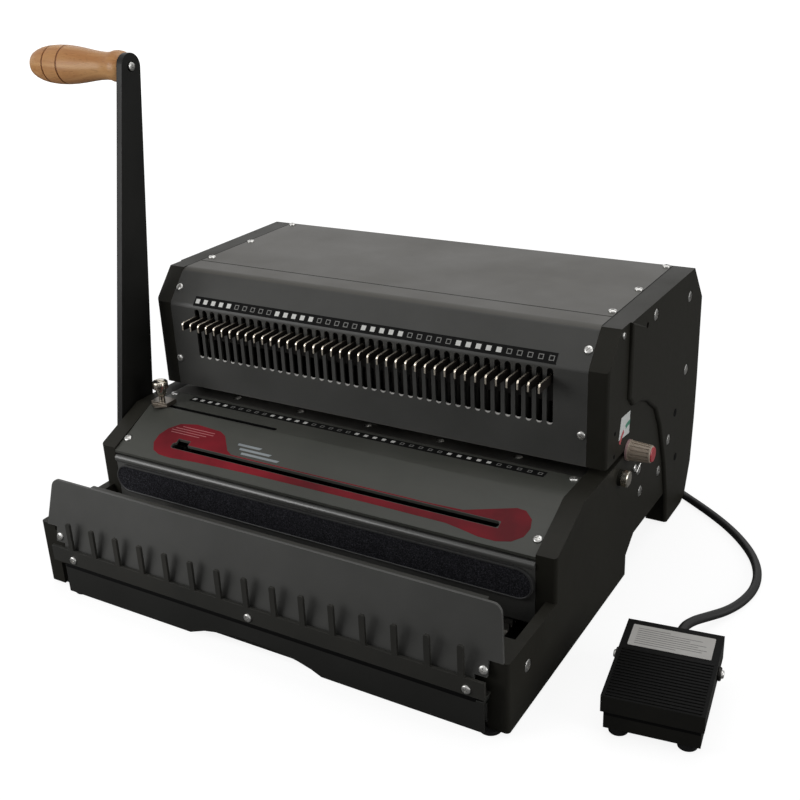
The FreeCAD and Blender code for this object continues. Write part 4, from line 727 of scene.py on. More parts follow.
class Shop:
    """The frame, the finishes and the last steps that every piece goes through."""

    def __init__(self, frame: dict) -> None:
        """Keep the frame and build every finish."""
        effects = Effects()
        self.nodes: dict[str, bpy.types.Object] = frame["nodes"]
        self.finishes = {coat.name: coat.build(effects) for coat in COATS}
        record = frame["record"]
        self.slots = {part["node"]: part["material_slot"] for part in record["subparts"]}
        self.bodies = {node: body for body, members in record["behaviour"]["bodies"].items()
                       for node in members}

    def dress(self, piece: bpy.types.Object, *finishes: str) -> None:
        """Give a piece its finishes, the first one all over."""
        piece.data.materials.clear()
        for name in finishes:
            piece.data.materials.append(self.finishes[name])

    def repaint(self, piece: bpy.types.Object, index: int, test: Test) -> None:
        """Give the faces that pass a test another of the piece's finishes."""
        for face in piece.data.polygons:
            if test(face.center, face.normal):
                face.material_index = index

    def fit(self, piece: bpy.types.Object, body: str, slot: str, *nodes: str) -> bpy.types.Object:
        """Fix a finished piece to a body and let it stand for CAD nodes."""
        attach(piece, body)
        if nodes:
            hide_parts(*nodes)
        LOG.info("%s rides on %s", piece.name, body)
        return piece

    def complete(self, piece: bpy.types.Object, finish: str, slot: str, *nodes: str,
                 body: str = "machine", shade: float | None = None) -> None:
        """Dress and fit a piece made from scratch, shaded smooth below an angle if given."""
        if shade is not None:
            smooth(piece, shade)
        self.dress(piece, finish)
        self.fit(piece, body, slot, *nodes)

    def lay(self, name: str, outlines: Sequence[Outline], thickness: float, place: Matrix,
            finish: str, slot: str, body: str = "machine") -> None:
        """Lay a thin flat piece in place.

        Args:
            name: The piece's name.
            outlines: Its outlines in millimetres, in its own XY plane.
            thickness: Its thickness in millimetres.
            place: Matrix from its own plane to the machine.
            finish: Its finish.
            slot: Its material slot; not used.
            body: The body it rides on.
        """
        self.complete(settle(flat_shape(name, outlines, thickness), place), finish, slot,
                      body=body)

    def copy_of(self, node: str, name: str) -> bpy.types.Object:
        """Return a merged, cleaned copy of a CAD node's mesh."""
        piece = bpy.data.objects.new(name, self.nodes[node].data.copy())
        piece.data.name = name
        bpy.context.scene.collection.objects.link(piece)
        with editing(piece):
            bpy.ops.mesh.select_all(action="SELECT")
            bpy.ops.mesh.remove_doubles(threshold=2e-6)
            bpy.ops.mesh.dissolve_limited(angle_limit=math.radians(0.5))
        return piece

    def eased(self, node: str, width: float, *finishes: str, segments: int = 2,
              shape: Callable[[bpy.types.Object], None] | None = None) -> bpy.types.Object:
        """Replace a CAD node by a copy with its edges rounded.

        Args:
            node: The CAD node.
            width: Edge rounding in millimetres.
            finishes: Finishes for the copy; the node's own slot when none is given.
            segments: Steps across each rounded edge.
            shape: Further work on the copy before its edges are rounded.

        Returns:
            The piece, fitted.
        """
        piece = self.copy_of(node, node + "_dressed")
        if shape is not None:
            shape(piece)
        ease(piece, width, segments)
        even(piece)
        self.dress(piece, *(finishes or (self.slots[node],)))
        return self.fit(piece, self.bodies[node], self.slots[node], node)

    def keep(self, *nodes: str, finish: str | None = None) -> None:
        """Leave CAD nodes as they are and give them their finish."""
        for node in nodes:
            self.dress(self.nodes[node], finish or self.slots[node])


# Fasteners and turned pieces


@dataclass(frozen=True)
class Fastener:
    """One kind of cross-slotted screw head, modelled along its own X axis.

    dome is the share of the rise that is rounded; cross is the size of a slot's cutter, as
    shares of the rise and, twice, of the radius.
    """

    radius: float
    rise: float
    dome: float = 0.55
    steps: int = 24
    cross: Point = (1.1, 1.15, 0.24)
    turn_step: float = 0.7

    def head(self, name: str) -> bpy.types.Object:
        """Return one head standing on its own X zero."""
        shoulder = self.rise * (1 - self.dome)
        profile = [(0.0, 0.01), (0.0, self.radius), (shoulder, self.radius)]
        for step in range(1, 5):
            angle = math.radians(22.5 * step)
            profile.append((shoulder + self.rise * self.dome * math.sin(angle),
                            max(0.01, self.radius * math.cos(angle))))
        piece = turned(name, profile, self.steps)
        for turn in (0.0, math.pi / 2):
            cut_with(piece, self.slot(turn))
        smooth(piece, 40)
        return piece

    def slot(self, turn: float) -> bpy.types.Object:
        """Return the cutter of one arm of the cross."""
        deselect()
        bpy.ops.mesh.primitive_cube_add(size=1, location=(self.rise * MM, 0, 0),
                                        rotation=(turn, 0, 0))
        cutter = bpy.context.object
        along, across, wide = self.cross
        cutter.scale = (self.rise * along * MM, self.radius * across * MM,
                        self.radius * wide * MM)
        return settle(cutter)

    def fit_row(self, shop: Shop, node: str, places: Sequence[tuple[Point, Point]]) -> None:
        """Put a head at each place, given with the way it faces, in the stead of a node."""
        name = node + "_heads"
        spots = [looking(spot(*where), out) @ Matrix.Rotation(self.turn_step * index, 4, "X")
                 for index, (where, out) in enumerate(places)]
        shop.complete(stamped(self.head(name), spots, name), "screw_steel", shop.slots[node],
                      node, body=shop.bodies[node])


@dataclass(frozen=True)
class Flutes:
    """Raised columns round a turned piece, from low to high along its axis.

    depth is their height, negative for grooves; keep of every so many columns are raised.
    """

    low: float
    high: float
    depth: float
    every: int = 2
    keep: int = 1

    def carve(self, piece: bpy.types.Object, steps: int) -> None:
        """Raise the columns of a piece that was spun with this number of steps."""
        def column(centre: Vector, normal: Vector) -> bool:
            """Pick the raised columns of the stretch."""
            index = int((math.atan2(centre.y, centre.z) % math.tau) / math.tau * steps)
            return (self.low * MM < centre.x < self.high * MM and index % self.every < self.keep
                    and abs(normal.x) < 0.7)

        pick(piece, column)
        with editing(piece):
            bpy.ops.mesh.extrude_region_shrink_fatten(
                TRANSFORM_OT_shrink_fatten={"value": self.depth * MM})


@dataclass(frozen=True)
class Turning:
    """A piece turned on the lathe that stands for one CAD node.

    profile runs along the piece's own X axis, which leaves origin towards out; ring names a
    second finish and the place along the axis where it ends.
    """

    node: str
    name: str
    body: str
    finish: str
    profile: Outline
    steps: int
    origin: Point
    out: Point = (1, 0, 0)
    shade: float = 35.0
    flutes: Flutes | None = None
    ring: tuple[str, float] | None = None

    def build(self, shop: Shop, cutter: bpy.types.Object | None = None) -> None:
        """Turn the piece, flute it, put it in place and cut its slot with a cutter."""
        piece = turned(self.name, self.profile, self.steps)
        if self.flutes is not None:
            self.flutes.carve(piece, self.steps)
        shop.dress(piece, self.finish, *(self.ring or ())[:1])
        if self.ring is not None:
            end = self.ring[1] * MM
            shop.repaint(piece, 1, lambda centre, normal: centre.x < end)
        settle(piece, looking(spot(*self.origin), self.out))
        if cutter is not None:
            cut_with(piece, cutter)
        smooth(piece, self.shade)
        shop.fit(piece, self.body, self.finish, self.node)


@dataclass
class SideFrames:
    """The two thick side frames, their bolts and the small things on the right flank.

    Bolts and small things are placed by machine Y and Z, hole shades by X, Y, Z and half their
    width.
    """

    shop: Shop
    outer: float = 210.0
    panel: float = 213.0
    panel_front: float = 203.0
    panel_depth: float = 125.0
    panel_top: float = 217.5
    panel_round: float = 2.6
    panel_bolts: Outline = ((343, 197), (256, 209), (344, 132), (305, 83))
    face_bolts: Outline = ((292, 59), (246, 62), (241, 84), (30, 35))
    bolt: Fastener = Fastener(5.2, 2.2, dome=0.8)
    bolt_sunk: float = 1.6
    # Painted shade: near-black discs laid over the flank's holes.
    hole_shades: tuple[tuple[float, float, float, float], ...] = (
        (213.0, 319.2, 102.2, 3.4), (213.0, 327.0, 57.5, 3.4), (210.0, 181.7, 140.0, 1.5),
        (210.0, 181.4, 121.4, 1.5))
    hole_shade_depth: float = 0.25
    brow_screw: Fastener = Fastener(2.6, 1.2)
    brow_place: tuple[float, float] = (192.9, 212.6)
    eye: tuple[float, float] = (229.0, 90.5)
    eye_profile: Outline = ((0, 0.01), (0, 2.9), (0.7, 3.1), (1.3, 2.6), (1.3, 1.5), (0.5, 1.3),
                            (0.5, 0.01))
    tick: tuple[float, float] = (232.0, 85.0)
    wire: float = 0.55

    def build(self) -> None:
        """Build both frames, the bolts and the right flank's small things."""
        for node in ("left_side_frame", "right_side_frame"):
            self.shop.eased(node, 0.9, segments=3, shape=self.round_panel)
        places = []
        for x, bolts in ((self.panel, self.panel_bolts), (self.outer, self.face_bolts)):
            for sign in (1, -1):
                places += [((sign * (x - self.bolt_sunk), y, z), (sign, 0, 0)) for y, z in bolts]
        self.bolt.fit_row(self.shop, "side_bolts", places)
        self.eye_screw()
        self.small_parts()

    def small_parts(self) -> None:
        """Lay painted shade discs over the flank's holes and fit the brow's small screw."""
        hole_shades = []
        for x, y, z, half in self.hole_shades:
            disc = flat_shape("flank_hole_shade", [rounded_box(-half, half, -half, half,
                                                         half * 0.999)], self.hole_shade_depth)
            hole_shades.append(settle(disc, Matrix.Translation(spot(x, y, z)) @ ON_FLANK))
        self.shop.complete(joined(hole_shades, "flank_hole_shades"), "painted_shade", "frame_black")
        screw = settle(self.brow_screw.head("brow_screw"),
                       looking(spot(self.outer, *self.brow_place), (1, 0, 0)))
        self.shop.complete(screw, "screw_steel", "screw_steel")

    def eye_screw(self) -> None:
        """Fit the small eye screw and the bent wire beside it."""
        ring = turned("flank_eye", self.eye_profile, 28)
        settle(ring, looking(spot(self.outer, *self.eye), (1, 0, 0)))
        corner = spot(self.outer + 0.7, *self.tick)
        parts = [ring]
        for name, length, out in (("flank_tick", 4.2, (0.1, -0.62, 0.78)),
                                  ("flank_tick_long", 8.8, (0.1, 0.74, 0.67))):
            arm = turned(name, [(0, 0.01), (0, self.wire), (length, self.wire), (length, 0.01)],
                         10)
            parts.append(settle(arm, looking(corner, out)))
        self.shop.complete(joined(parts, "flank_eye_screw"), "screw_steel", "screw_steel",
                           shade=40)

    def round_panel(self, piece: bpy.types.Object) -> None:
        """Round the step where the raised rear panel meets the plain flank."""
        level = self.panel * MM - 1e-5
        front = (self.panel_front - HALF_DEPTH) * MM
        back = front + self.panel_depth * MM

        def on_step(first: Vector, second: Vector) -> bool:
            """Pick the step in front of the raised panel, not its recesses or outer edges."""
            if min(abs(first.x), abs(second.x)) < level or (first - second).length < 4 * MM:
                return False
            if min(first.z, second.z) > self.panel_top * MM or max(first.y, second.y) > back:
                return False
            return min(first.y, second.y) > front

        pick_edges(piece, on_step)
        with editing(piece, Element.EDGE):
            bpy.ops.mesh.bevel(offset=self.panel_round * MM, segments=4, affect="EDGES")


@dataclass
class Head:
    """Covers of the punch head, its row of tabs and its rear fittings.

    Screws are machine Y, Z and the way they face; folds are machine Y, Z and the bend's width;
    slot_feet bounds the cut edge under the tabs by Y, half width and two levels, where its faces
    that look up are painted pale as a highlight; a slot's glint, a painted highlight, is drawn
    round the centre of the slot's round foot.
    """

    shop: Shop
    screw: Fastener = Fastener(3.3, 1.8)
    screw_x: float = 190.3
    screws: tuple[tuple[float, float, Point], ...] = (
        (347.0, 219, (0, 0, 1)), (279.5, 219, (0, 0, 1)), (222.5, 219, (0, 0, 1)),
        (165.5, 142, (0, -1, 0)), (175.85, 204.7, (0.0, -0.749, 0.663)))
    folds: tuple[Point, ...] = ((188.5, 219.0, 4.5), (165.5, 193.0, 2.5))
    slot_feet: tuple[float, float, float, float] = (168.0, 172.0, 144.6, 147.2)
    # Painted shade: near-black strips in the grooves between the covers and along the frames.
    seam_shade_level: float = 218.84
    seam_shade_rows: tuple[tuple[float, ...], ...] = (
        (-193.8, 193.8, 211.0, 212.0, 0.3), (194.0, 194.8, 190.5, 351, 0.35),
        (-194.8, -194.0, 190.5, 351, 0.35))
    # The painted glint in each slot's foot: its centre, radius, shoulder and depth.
    glint_centre: tuple[float, float] = (166.6, 148.15)
    glint_radius: float = 2.4
    glint_shoulder: tuple[float, float] = (0.9, -1.3)
    glint_depth: float = 0.9
    gland: Turning = Turning(
        "cord_gland", "cord_gland_dressed", "machine", "black_plastic",
        ((-6, 3.55), (-6, 6), (0, 6), (0, 8.5), (3, 8.5), (3.2, 7.4), (6, 7.0), (10, 5.6),
         (11, 4.6), (11, 3.55)),
        36, (97.3, 375, 46), (0, 1, 0), 32, Flutes(0.2, 2.9, 0.35, 6, 4))

    def build(self) -> None:
        """Build the head's pieces."""
        shop = self.shop
        cover = shop.eased("head_front_cover", 0.5, "front_grey", "lit_slot_edge", "cover_grey",
                           shape=self.bend)
        # The front cover's faces that look up take the lighter copy of its paint: painted light
        # from above.
        shop.repaint(cover, 2, lambda centre, normal: normal.z > 0.85)
        # Painted highlight: the cut edge at each slot's foot is pale only where it faces up to the
        # light.
        shop.repaint(cover, 1, self.slot_end)
        shop.eased("head_top_cover", 0.5)
        # Painted shade in the seams, where the grooves fall dark.
        shop.lay("head_seam_shade", [rounded_box(*row) for row in self.seam_shade_rows], 0.2,
                 Matrix.Translation(spot(0, 0, self.seam_shade_level)), "painted_shade", "cover_grey")
        self.slot_glints()
        shop.eased("rear_cover", 0.3)
        self.screw.fit_row(shop, "cover_screws",
                           [((x, y, z), out) for y, z, out in self.screws
                            for x in (self.screw_x, -self.screw_x)])
        for node in TAB_NODES:
            self.tabs(node)
        shop.eased("power_inlet", 0.5)
        shop.eased("power_switch", 0.6)
        self.gland.build(shop)

    def bend(self, piece: bpy.types.Object) -> None:
        """Round the cover's two outer folds as bent sheet."""
        for y, z, width in self.folds:
            fold = spot(0, y, z)
            count = pick_edges(piece, lambda first, second: abs(first.x - second.x) > 0.3 and all(
                abs(end.y - fold.y) < 0.6 * MM and abs(end.z - fold.z) < 0.6 * MM
                for end in (first, second)))
            LOG.info("fold at %s: %d edges", y, count)
            with editing(piece, Element.EDGE):
                bpy.ops.mesh.bevel(offset=width * MM, segments=4, affect="EDGES")

    def slot_end(self, centre: Vector, normal: Vector) -> bool:
        """Tell whether a face is the up-facing cut edge at the foot of a tab's slot, painted pale
        as a highlight.
        """
        y, half, low, high = self.slot_feet
        inside = centre.y < (y - HALF_DEPTH) * MM and abs(centre.x) < half * MM
        return inside and low * MM < centre.z < high * MM and normal.z > 0.3

    def slot_glints(self) -> None:
        """Fit a pale crescent in the foot of every tab's slot, a painted glint."""
        half, top = self.glint_shoulder
        foot = [(self.glint_radius * math.cos(math.radians(angle)),
                 self.glint_radius * math.sin(math.radians(angle))) for angle in range(200, 341, 10)]
        glint = flat_shape("slot_glints", [foot + [(half, top), (-half, top)]], self.glint_depth)
        upright = Matrix.Rotation(math.pi / 2, 4, "X")
        middle = Matrix.Translation(spot(0, *self.glint_centre))
        glints = stamped(glint, [middle @ pin_shift(index) @ upright for index in range(PINS)],
                       "slot_glints")
        self.shop.complete(glints, "slot_glint", "front_grey", shade=32)

    def tabs(self, node: str) -> None:
        """Build one set of pull tabs: dark faces with bright sheared rims."""
        piece = self.shop.eased(node, 0.22, "tab_rim", "tab_side", segments=1)
        self.shop.repaint(piece, 1, lambda centre, normal: abs(normal.x) > 0.9)


@dataclass
class Marks:
    """Rows of square marks on the brow facet and on the wire bed."""

    shop: Shop
    size: float = 4.4
    line: float = 0.6
    ink: float = 0.06
    facet_foot: tuple[float, float] = (165.5, 193.0)
    facet_run: float = 23.0
    facet_rise: float = 26.0
    facet_share: float = 0.15
    facet_lift: float = 0.009
    bed_row: tuple[float, float] = (150.0, 112.26)

    def build(self) -> None:
        """Print both rows on their strips."""
        self.shop.keep("mark_strips")
        y, z = self.facet_foot
        run, rise = self.facet_run, self.facet_rise
        facet = Matrix.Translation(spot(0, y + run * self.facet_share - rise * self.facet_lift,
                                        z + rise * self.facet_share + run * self.facet_lift))
        self.row("brow", facet @ Matrix.Rotation(math.atan2(rise, run), 4, "X"), 0.95)
        self.row("bed", Matrix.Translation(spot(0, *self.bed_row)), 0.78)

    def row(self, label: str, place: Matrix, share: float) -> None:
        """Print one row of filled and open squares, a set of each in turn.

        Args:
            label: Word for the row's name.
            place: Where the row's middle goes.
            share: Size of these squares as a share of the usual one.
        """
        half = self.size * share / 2
        inner = half - self.line
        square = [(-half, -half), (half, -half), (half, half), (-half, half)]
        hole = [(-inner, -inner), (inner, -inner), (inner, inner), (-inner, inner)]
        full, open_ = [], []
        for index in range(PINS):
            (open_ if index // SET % 2 else full).append(place @ pin_shift(index))
        for name, outlines, places, finish in (
                (f"{label}_marks_full", [square], full, "mark_white"),
                (f"{label}_marks_open", [square, hole], open_, "mark_dim")):
            self.shop.complete(stamped(flat_shape(name, outlines, self.ink), places, name),
                               finish, "marks")


@dataclass
class WireBed:
    """The sloping bed with its print, its screws, the loop strip and the paper guide.

    Rows of screws are machine Y and Z; guide_slot is its ends and its Y, wire_slot its ends and
    its two edges, notch its ends and its far edge; field is the loop field's border, the width
    of its wall and its depth. band is drawn in X and machine Y; a stripe or bar is its left
    end, right end and Y.
    """

    shop: Shop
    slope_foot: tuple[float, float] = (76.0, 89.0)
    slope_run: float = 48.0
    slope_rise: float = 23.0
    screw: Fastener = Fastener(3.3, 1.7)
    screw_x: float = 190.3
    flat_row: tuple[float, float] = (152.5, 112.0)
    slope_row: tuple[float, float] = (88.96, 95.21)
    small: Fastener = Fastener(2.9, 1.1)
    small_x: tuple[float, ...] = (-132.3, -64.5, 3.3, 71.0, 138.7)
    small_row: tuple[float, float] = (168.0, 110.6)
    guide_slot: Point = (-189.0, -59.0, 129.0)
    field: tuple[float, float, float] = (1.1, 0.25, 0.45)
    wire_slot: tuple[float, float, float, float] = (-144.0, 159.0, 90.0, 95.0)
    notch: Point = (-141.5, -129.0, 99.0)
    band: Outline = (
        (-163, 91), (-158, 84.4), (-150, 81.6), (-138, 81), (-112, 82.6), (-60, 84), (60, 84.6),
        (120, 84.2), (134, 82.4), (148, 80.2), (162, 80), (173, 82.6), (180, 88), (182, 95),
        (180, 102), (173, 107.5), (166, 108), (128, 97), (100, 96.2), (-84, 96.2), (-90, 99),
        (-101, 111), (-108, 114), (-134, 115.4), (-150, 112.6), (-159, 106), (-163.4, 98.6))
    stripes: tuple[Point, ...] = ((-154, -124, 104.2), (-155, -118, 106.4), (-152, -112, 108.6),
                                  (-146, -112, 110.8))
    bars: tuple[Point, ...] = ((-76, -40, 99.4), (-80, -50, 103.0), (-84, -62, 106.6))
    thumb_screw: Turning = Turning(
        "thumb_screw", "thumb_screw_dressed", "guide_screw", "knurled_steel",
        ((0.3, 0.01), (0.3, 2.6), (4.4, 2.6), (5.6, 3.8), (7, 4.3), (10.8, 4.6), (11.4, 6.2),
         (12, 6.5), (17.4, 6.5), (18, 6.1), (18.5, 5.2), (18.5, 0.01)),
        48, (-184, 129, 116), (0, 0, 1), 40, Flutes(11.8, 17.7, 0.3))
    thumb_slot: tuple[Point, Point] = ((-192, 128.4, 133.6), (-176, 129.6, 138))

    def build(self) -> None:
        """Build the bed's pieces."""
        shop = self.shop
        plate = shop.eased("bed_plate", 0.35, "bed_grey", "painted_shade")
        # Painted shade on the walls and lips of the guide's slot, so that it shows as a dark line.
        shop.repaint(plate, 1, self.in_slot)
        shop.eased("bed_front_panel", 0.3, "bead_grey")
        self.strip()
        rows = ((self.flat_row, (0, 0, 1)),
                (self.slope_row, (0.0, -self.slope_rise, self.slope_run)))
        heads = stamped(self.screw.head("bed_screw"),
                        [looking(spot(x, *row), out) for row, out in rows
                         for x in (self.screw_x, -self.screw_x)], "bed_screws_large")
        small = stamped(self.small.head("die_screw"),
                        [looking(spot(x, *self.small_row), (0, 0, 1)) for x in self.small_x],
                        "bed_screws_small")
        shop.complete(joined([heads, small], "bed_screws_heads"), "screw_steel", "screw_steel",
                      "bed_screws")
        self.print_band()
        shop.eased("side_guide", 0.4, "guide_steel")
        self.thumb_screw.build(shop, block("thumb_slot", *self.thumb_slot))

    def in_slot(self, centre: Vector, normal: Vector) -> bool:
        """Tell whether a face of the bed is a wall or lip of the guide's slot, which takes painted
        shade.
        """
        left, right, y = self.guide_slot
        across = abs(centre.y - (y - HALF_DEPTH) * MM) < 2.7 * MM
        return across and left * MM < centre.x < right * MM and normal.z < 0.98

    def strip(self) -> None:
        """Build the loop strip: a narrow plain border round a fuzzy field."""
        def border(piece: bpy.types.Object) -> None:
            """Sink the field inside the border."""
            width, wall, depth = self.field
            pick(piece, lambda centre, normal: normal.y < -0.9)
            with editing(piece):
                bpy.ops.mesh.inset(thickness=width * MM, depth=0)
                bpy.ops.mesh.inset(thickness=wall * MM, depth=-depth * MM)

        piece = self.shop.eased("grip_strip", 0.2, "strip_border", "grip_strip", shape=border)
        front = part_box("grip_strip")[0].y
        self.shop.repaint(piece, 1, lambda centre, normal: normal.y < -0.9
                          and centre.y > front + 0.3 * MM)

    def slope(self, x: float, y: float) -> tuple[float, float]:
        """Return a place on the slope's own plane from X and machine Y."""
        length = math.hypot(self.slope_run, self.slope_rise)
        return x, (y - self.slope_foot[0]) * length / self.slope_run

    def slot_hole(self, margin: float) -> list[tuple[float, float]]:
        """Return the outline of the wire slot with its notch, a margin larger all round."""
        left, right, low, high = self.wire_slot
        near, far, top = self.notch
        left, right, low, high = left - margin, right + margin, low - margin, high + margin
        near, far, top = near - margin, far + margin, top + margin
        outline = [(left + 2, low), (right, low), (right, high), (far, high), (far, top),
                   (near, top), (near, high), (left, high - 1), (left, low + 1)]
        return [self.slope(x, y) for x, y in outline]

    def print_band(self) -> None:
        """Print the red band along the wire slot, with plain stripes and bars beside it."""
        self.printed("red_band", [[self.slope(x, y) for x, y in self.band],
                                  self.slot_hole(0.35)], "print_red", 0.05)
        self.printed("panel_stripes", [self.bar(*stripe, 0.5) for stripe in self.stripes],
                     "print_pink", 0.09)
        self.printed("grey_bars", [self.bar(*bar, 1.9) for bar in self.bars], "print_grey", 0.05)

    def bar(self, left: float, right: float, y: float, width: float) -> list[tuple[float, float]]:
        """Return the outline of a plain bar on the slope, with one slanted end."""
        low, high = y - width / 2, y + width / 2
        return [self.slope(*point) for point in
                ((left, low), (right, low), (right + width, high), (left, high))]

    def printed(self, name: str, outlines: Sequence[Outline], finish: str,
                thickness: float) -> None:
        """Lay a thin print on the slope."""
        place = (Matrix.Translation(spot(0, *self.slope_foot))
                 @ Matrix.Rotation(math.atan2(self.slope_rise, self.slope_run), 4, "X")
                 @ Matrix.Translation((0, 0, 0.03 * MM)))
        self.shop.lay(name, outlines, thickness, place, finish, "bed_grey")


@dataclass
class Front:
    """The leaning flap with its comb, the skirt under it and a painted shadow strip on the skirt's
    top.
    """

    shop: Shop
    screw: Fastener = Fastener(3.3, 1.8)
    lug_screws: tuple[Point, ...] = ((193.9, -3.39, 48.5), (-185.4, -3.39, 48.5))
    lug_angle: Point = (0, -0.9735, 0.2288)
    comb_screws: tuple[Point, ...] = ((-168.5, -9, 33.6), (6.5, -9, 33.6), (184.1, -9, 33.6))
    # Corners of the painted shadow strip under the comb bar.
    shadow_block: tuple[Point, Point] = ((-178.4, -9.05, 25.4), (190.8, -7.2, 28.7))

    def build(self) -> None:
        """Build the front's pieces."""
        shop = self.shop
        shop.eased("front_flap", 0.35, "flap_grey")
        shop.eased("comb_bar", 0.4)
        shop.eased("front_skirt", 0.35)
        self.screw.fit_row(shop, "front_screws",
                           [(place, self.lug_angle) for place in self.lug_screws]
                           + [(place, (0, -1, 0)) for place in self.comb_screws])
        # Painted shadow: a near-black strip over the top of the skirt, where the gap under the
        # comb bar falls dark.
        painted_shadow = block("skirt_painted_shadow", *self.shadow_block)
        ease(painted_shadow, 0.2)
        shop.complete(painted_shadow, "painted_shade", "sheet_black")


@dataclass
class Lever:
    """The closer's lever with its turned grip."""

    shop: Shop
    grip: Turning = Turning(
        "lever_grip", "lever_grip_dressed", "grip", "grip_wood",
        ((0.0, 4.1), (0.0, 10.6), (1.2, 11.4), (3.2, 12.4), (7.4, 12.9), (10.6, 12.6),
         (13.8, 11.5), (20.2, 11.2), (27.7, 11.7), (36.2, 12.8), (45.8, 14.3), (55.4, 15.5),
         (62.9, 16.1), (63.3, 15.6), (64.5, 15.6), (64.9, 16.2), (73.5, 16.3), (80.0, 15.9),
         (80.4, 15.2), (81.6, 15.1), (82.0, 15.7), (85.2, 15.4), (91.6, 14.2), (96.9, 12.5),
         (100.6, 10.8), (103.8, 7.6), (105.6, 4.2), (106.5, 0.01)),
        56, (-218.6, 174.743, 391.085), (-1, 0, 0), 50)
    bolt: Fastener = Fastener(3.5, 1.5, dome=0.5)
    bolt_x: float = -212.3
    shank: tuple[float, float] = (90.0, 3.4)

    def build(self) -> None:
        """Build the lever, its grip and the grip's bolt."""
        shop = self.shop
        shop.eased("lever_arm", 0.5)
        self.grip.build(shop)
        length, radius = self.shank
        parts = [self.bolt.head("grip_bolt_head"),
                 turned("grip_bolt_shank", [(-length, 0.01), (-length, radius), (0, radius),
                                            (0, 0.01)], 24)]
        for part in parts:
            settle(part, looking(spot(self.bolt_x, *self.grip.origin[1:]), (1, 0, 0)))
        shop.complete(joined(parts, "grip_bolt_dressed"), "screw_steel", "screw_steel",
                      "grip_bolt", body="closer", shade=40)


@dataclass
class Flank:
    """Knobs and the small scale on the right flank.

    An arc of the scale is its name, its first and last angle in degrees and its finish.
    """

    shop: Shop
    outer: float = 210.0
    knob: Turning = Turning(
        "margin_knob", "margin_knob_dressed", "margin", "knob_grey",
        ((0, 4), (0, 8.2), (1.9, 8.3), (2.0, 7.9), (3.6, 7.8), (17.9, 6.9), (18.7, 6.7),
         (19.2, 6.0), (19.2, 4)),
        60, (210.3, 211.0, 114.5), flutes=Flutes(3.7, 17.8, -0.55, 4, 2),
        ring=("knob_ring", 1.95))
    cap: Turning = Turning(
        "margin_knob_cap", "margin_cap_dressed", "margin", "knob_red",
        ((18.4, 0.01), (18.4, 6.0), (19.5, 6.0), (20.1, 5.5), (20.2, 0.01)),
        48, (210.3, 211.0, 114.5), shade=32)
    lock: Turning = Turning(
        "lock_knob", "lock_knob_dressed", "flank_knob", "knurled_steel",
        ((-10.8, 0.01), (-10.8, 3), (0, 3), (0, 5.6), (0.6, 6.1), (4.8, 6.1), (5.4, 5.3),
         (5.5, 0.01)),
        48, (212.3, 195.5, 98.0), flutes=Flutes(0.7, 4.7, 0.4))
    sticker: Outline = ((213.6, 146.3), (194.6, 147.4), (189.8, 130.8), (212.4, 128.1))
    arc_radii: tuple[float, float] = (24.5, 21.0)
    arcs: tuple[tuple[str, int, int, str], ...] = (
        ("scale_red_arc", 118, 150, "sticker_red"), ("scale_green_arc", 84, 112, "sticker_green"))

    def build(self) -> None:
        """Build both knobs and stick the small white scale above the upper one."""
        for turning in (self.knob, self.cap, self.lock):
            turning.build(self.shop)
        self.stuck("margin_scale", self.sticker, "sticker_white", 0.12)
        wide, narrow = self.arc_radii
        for name, start, end, finish in self.arcs:
            outer = [self.round_knob(wide, angle) for angle in range(start, end, 4)]
            inner = [self.round_knob(narrow, angle) for angle in range(end - 4, start - 1, -4)]
            self.stuck(name, outer + inner, finish, 0.2)

    def round_knob(self, radius: float, angle: float) -> tuple[float, float]:
        """Return a place on the flank at a radius and angle round the margin knob."""
        turn = math.radians(angle)
        _, y, z = self.knob.origin
        return y + radius * math.cos(turn), z + radius * math.sin(turn)

    def stuck(self, name: str, outline: Outline, finish: str, thickness: float) -> None:
        """Lay a thin shape drawn in machine Y and Z on the right flank."""
        self.shop.lay(name, [outline], thickness,
                      Matrix.Translation(spot(self.outer, 0, 0)) @ ON_FLANK, finish,
                      "frame_black")


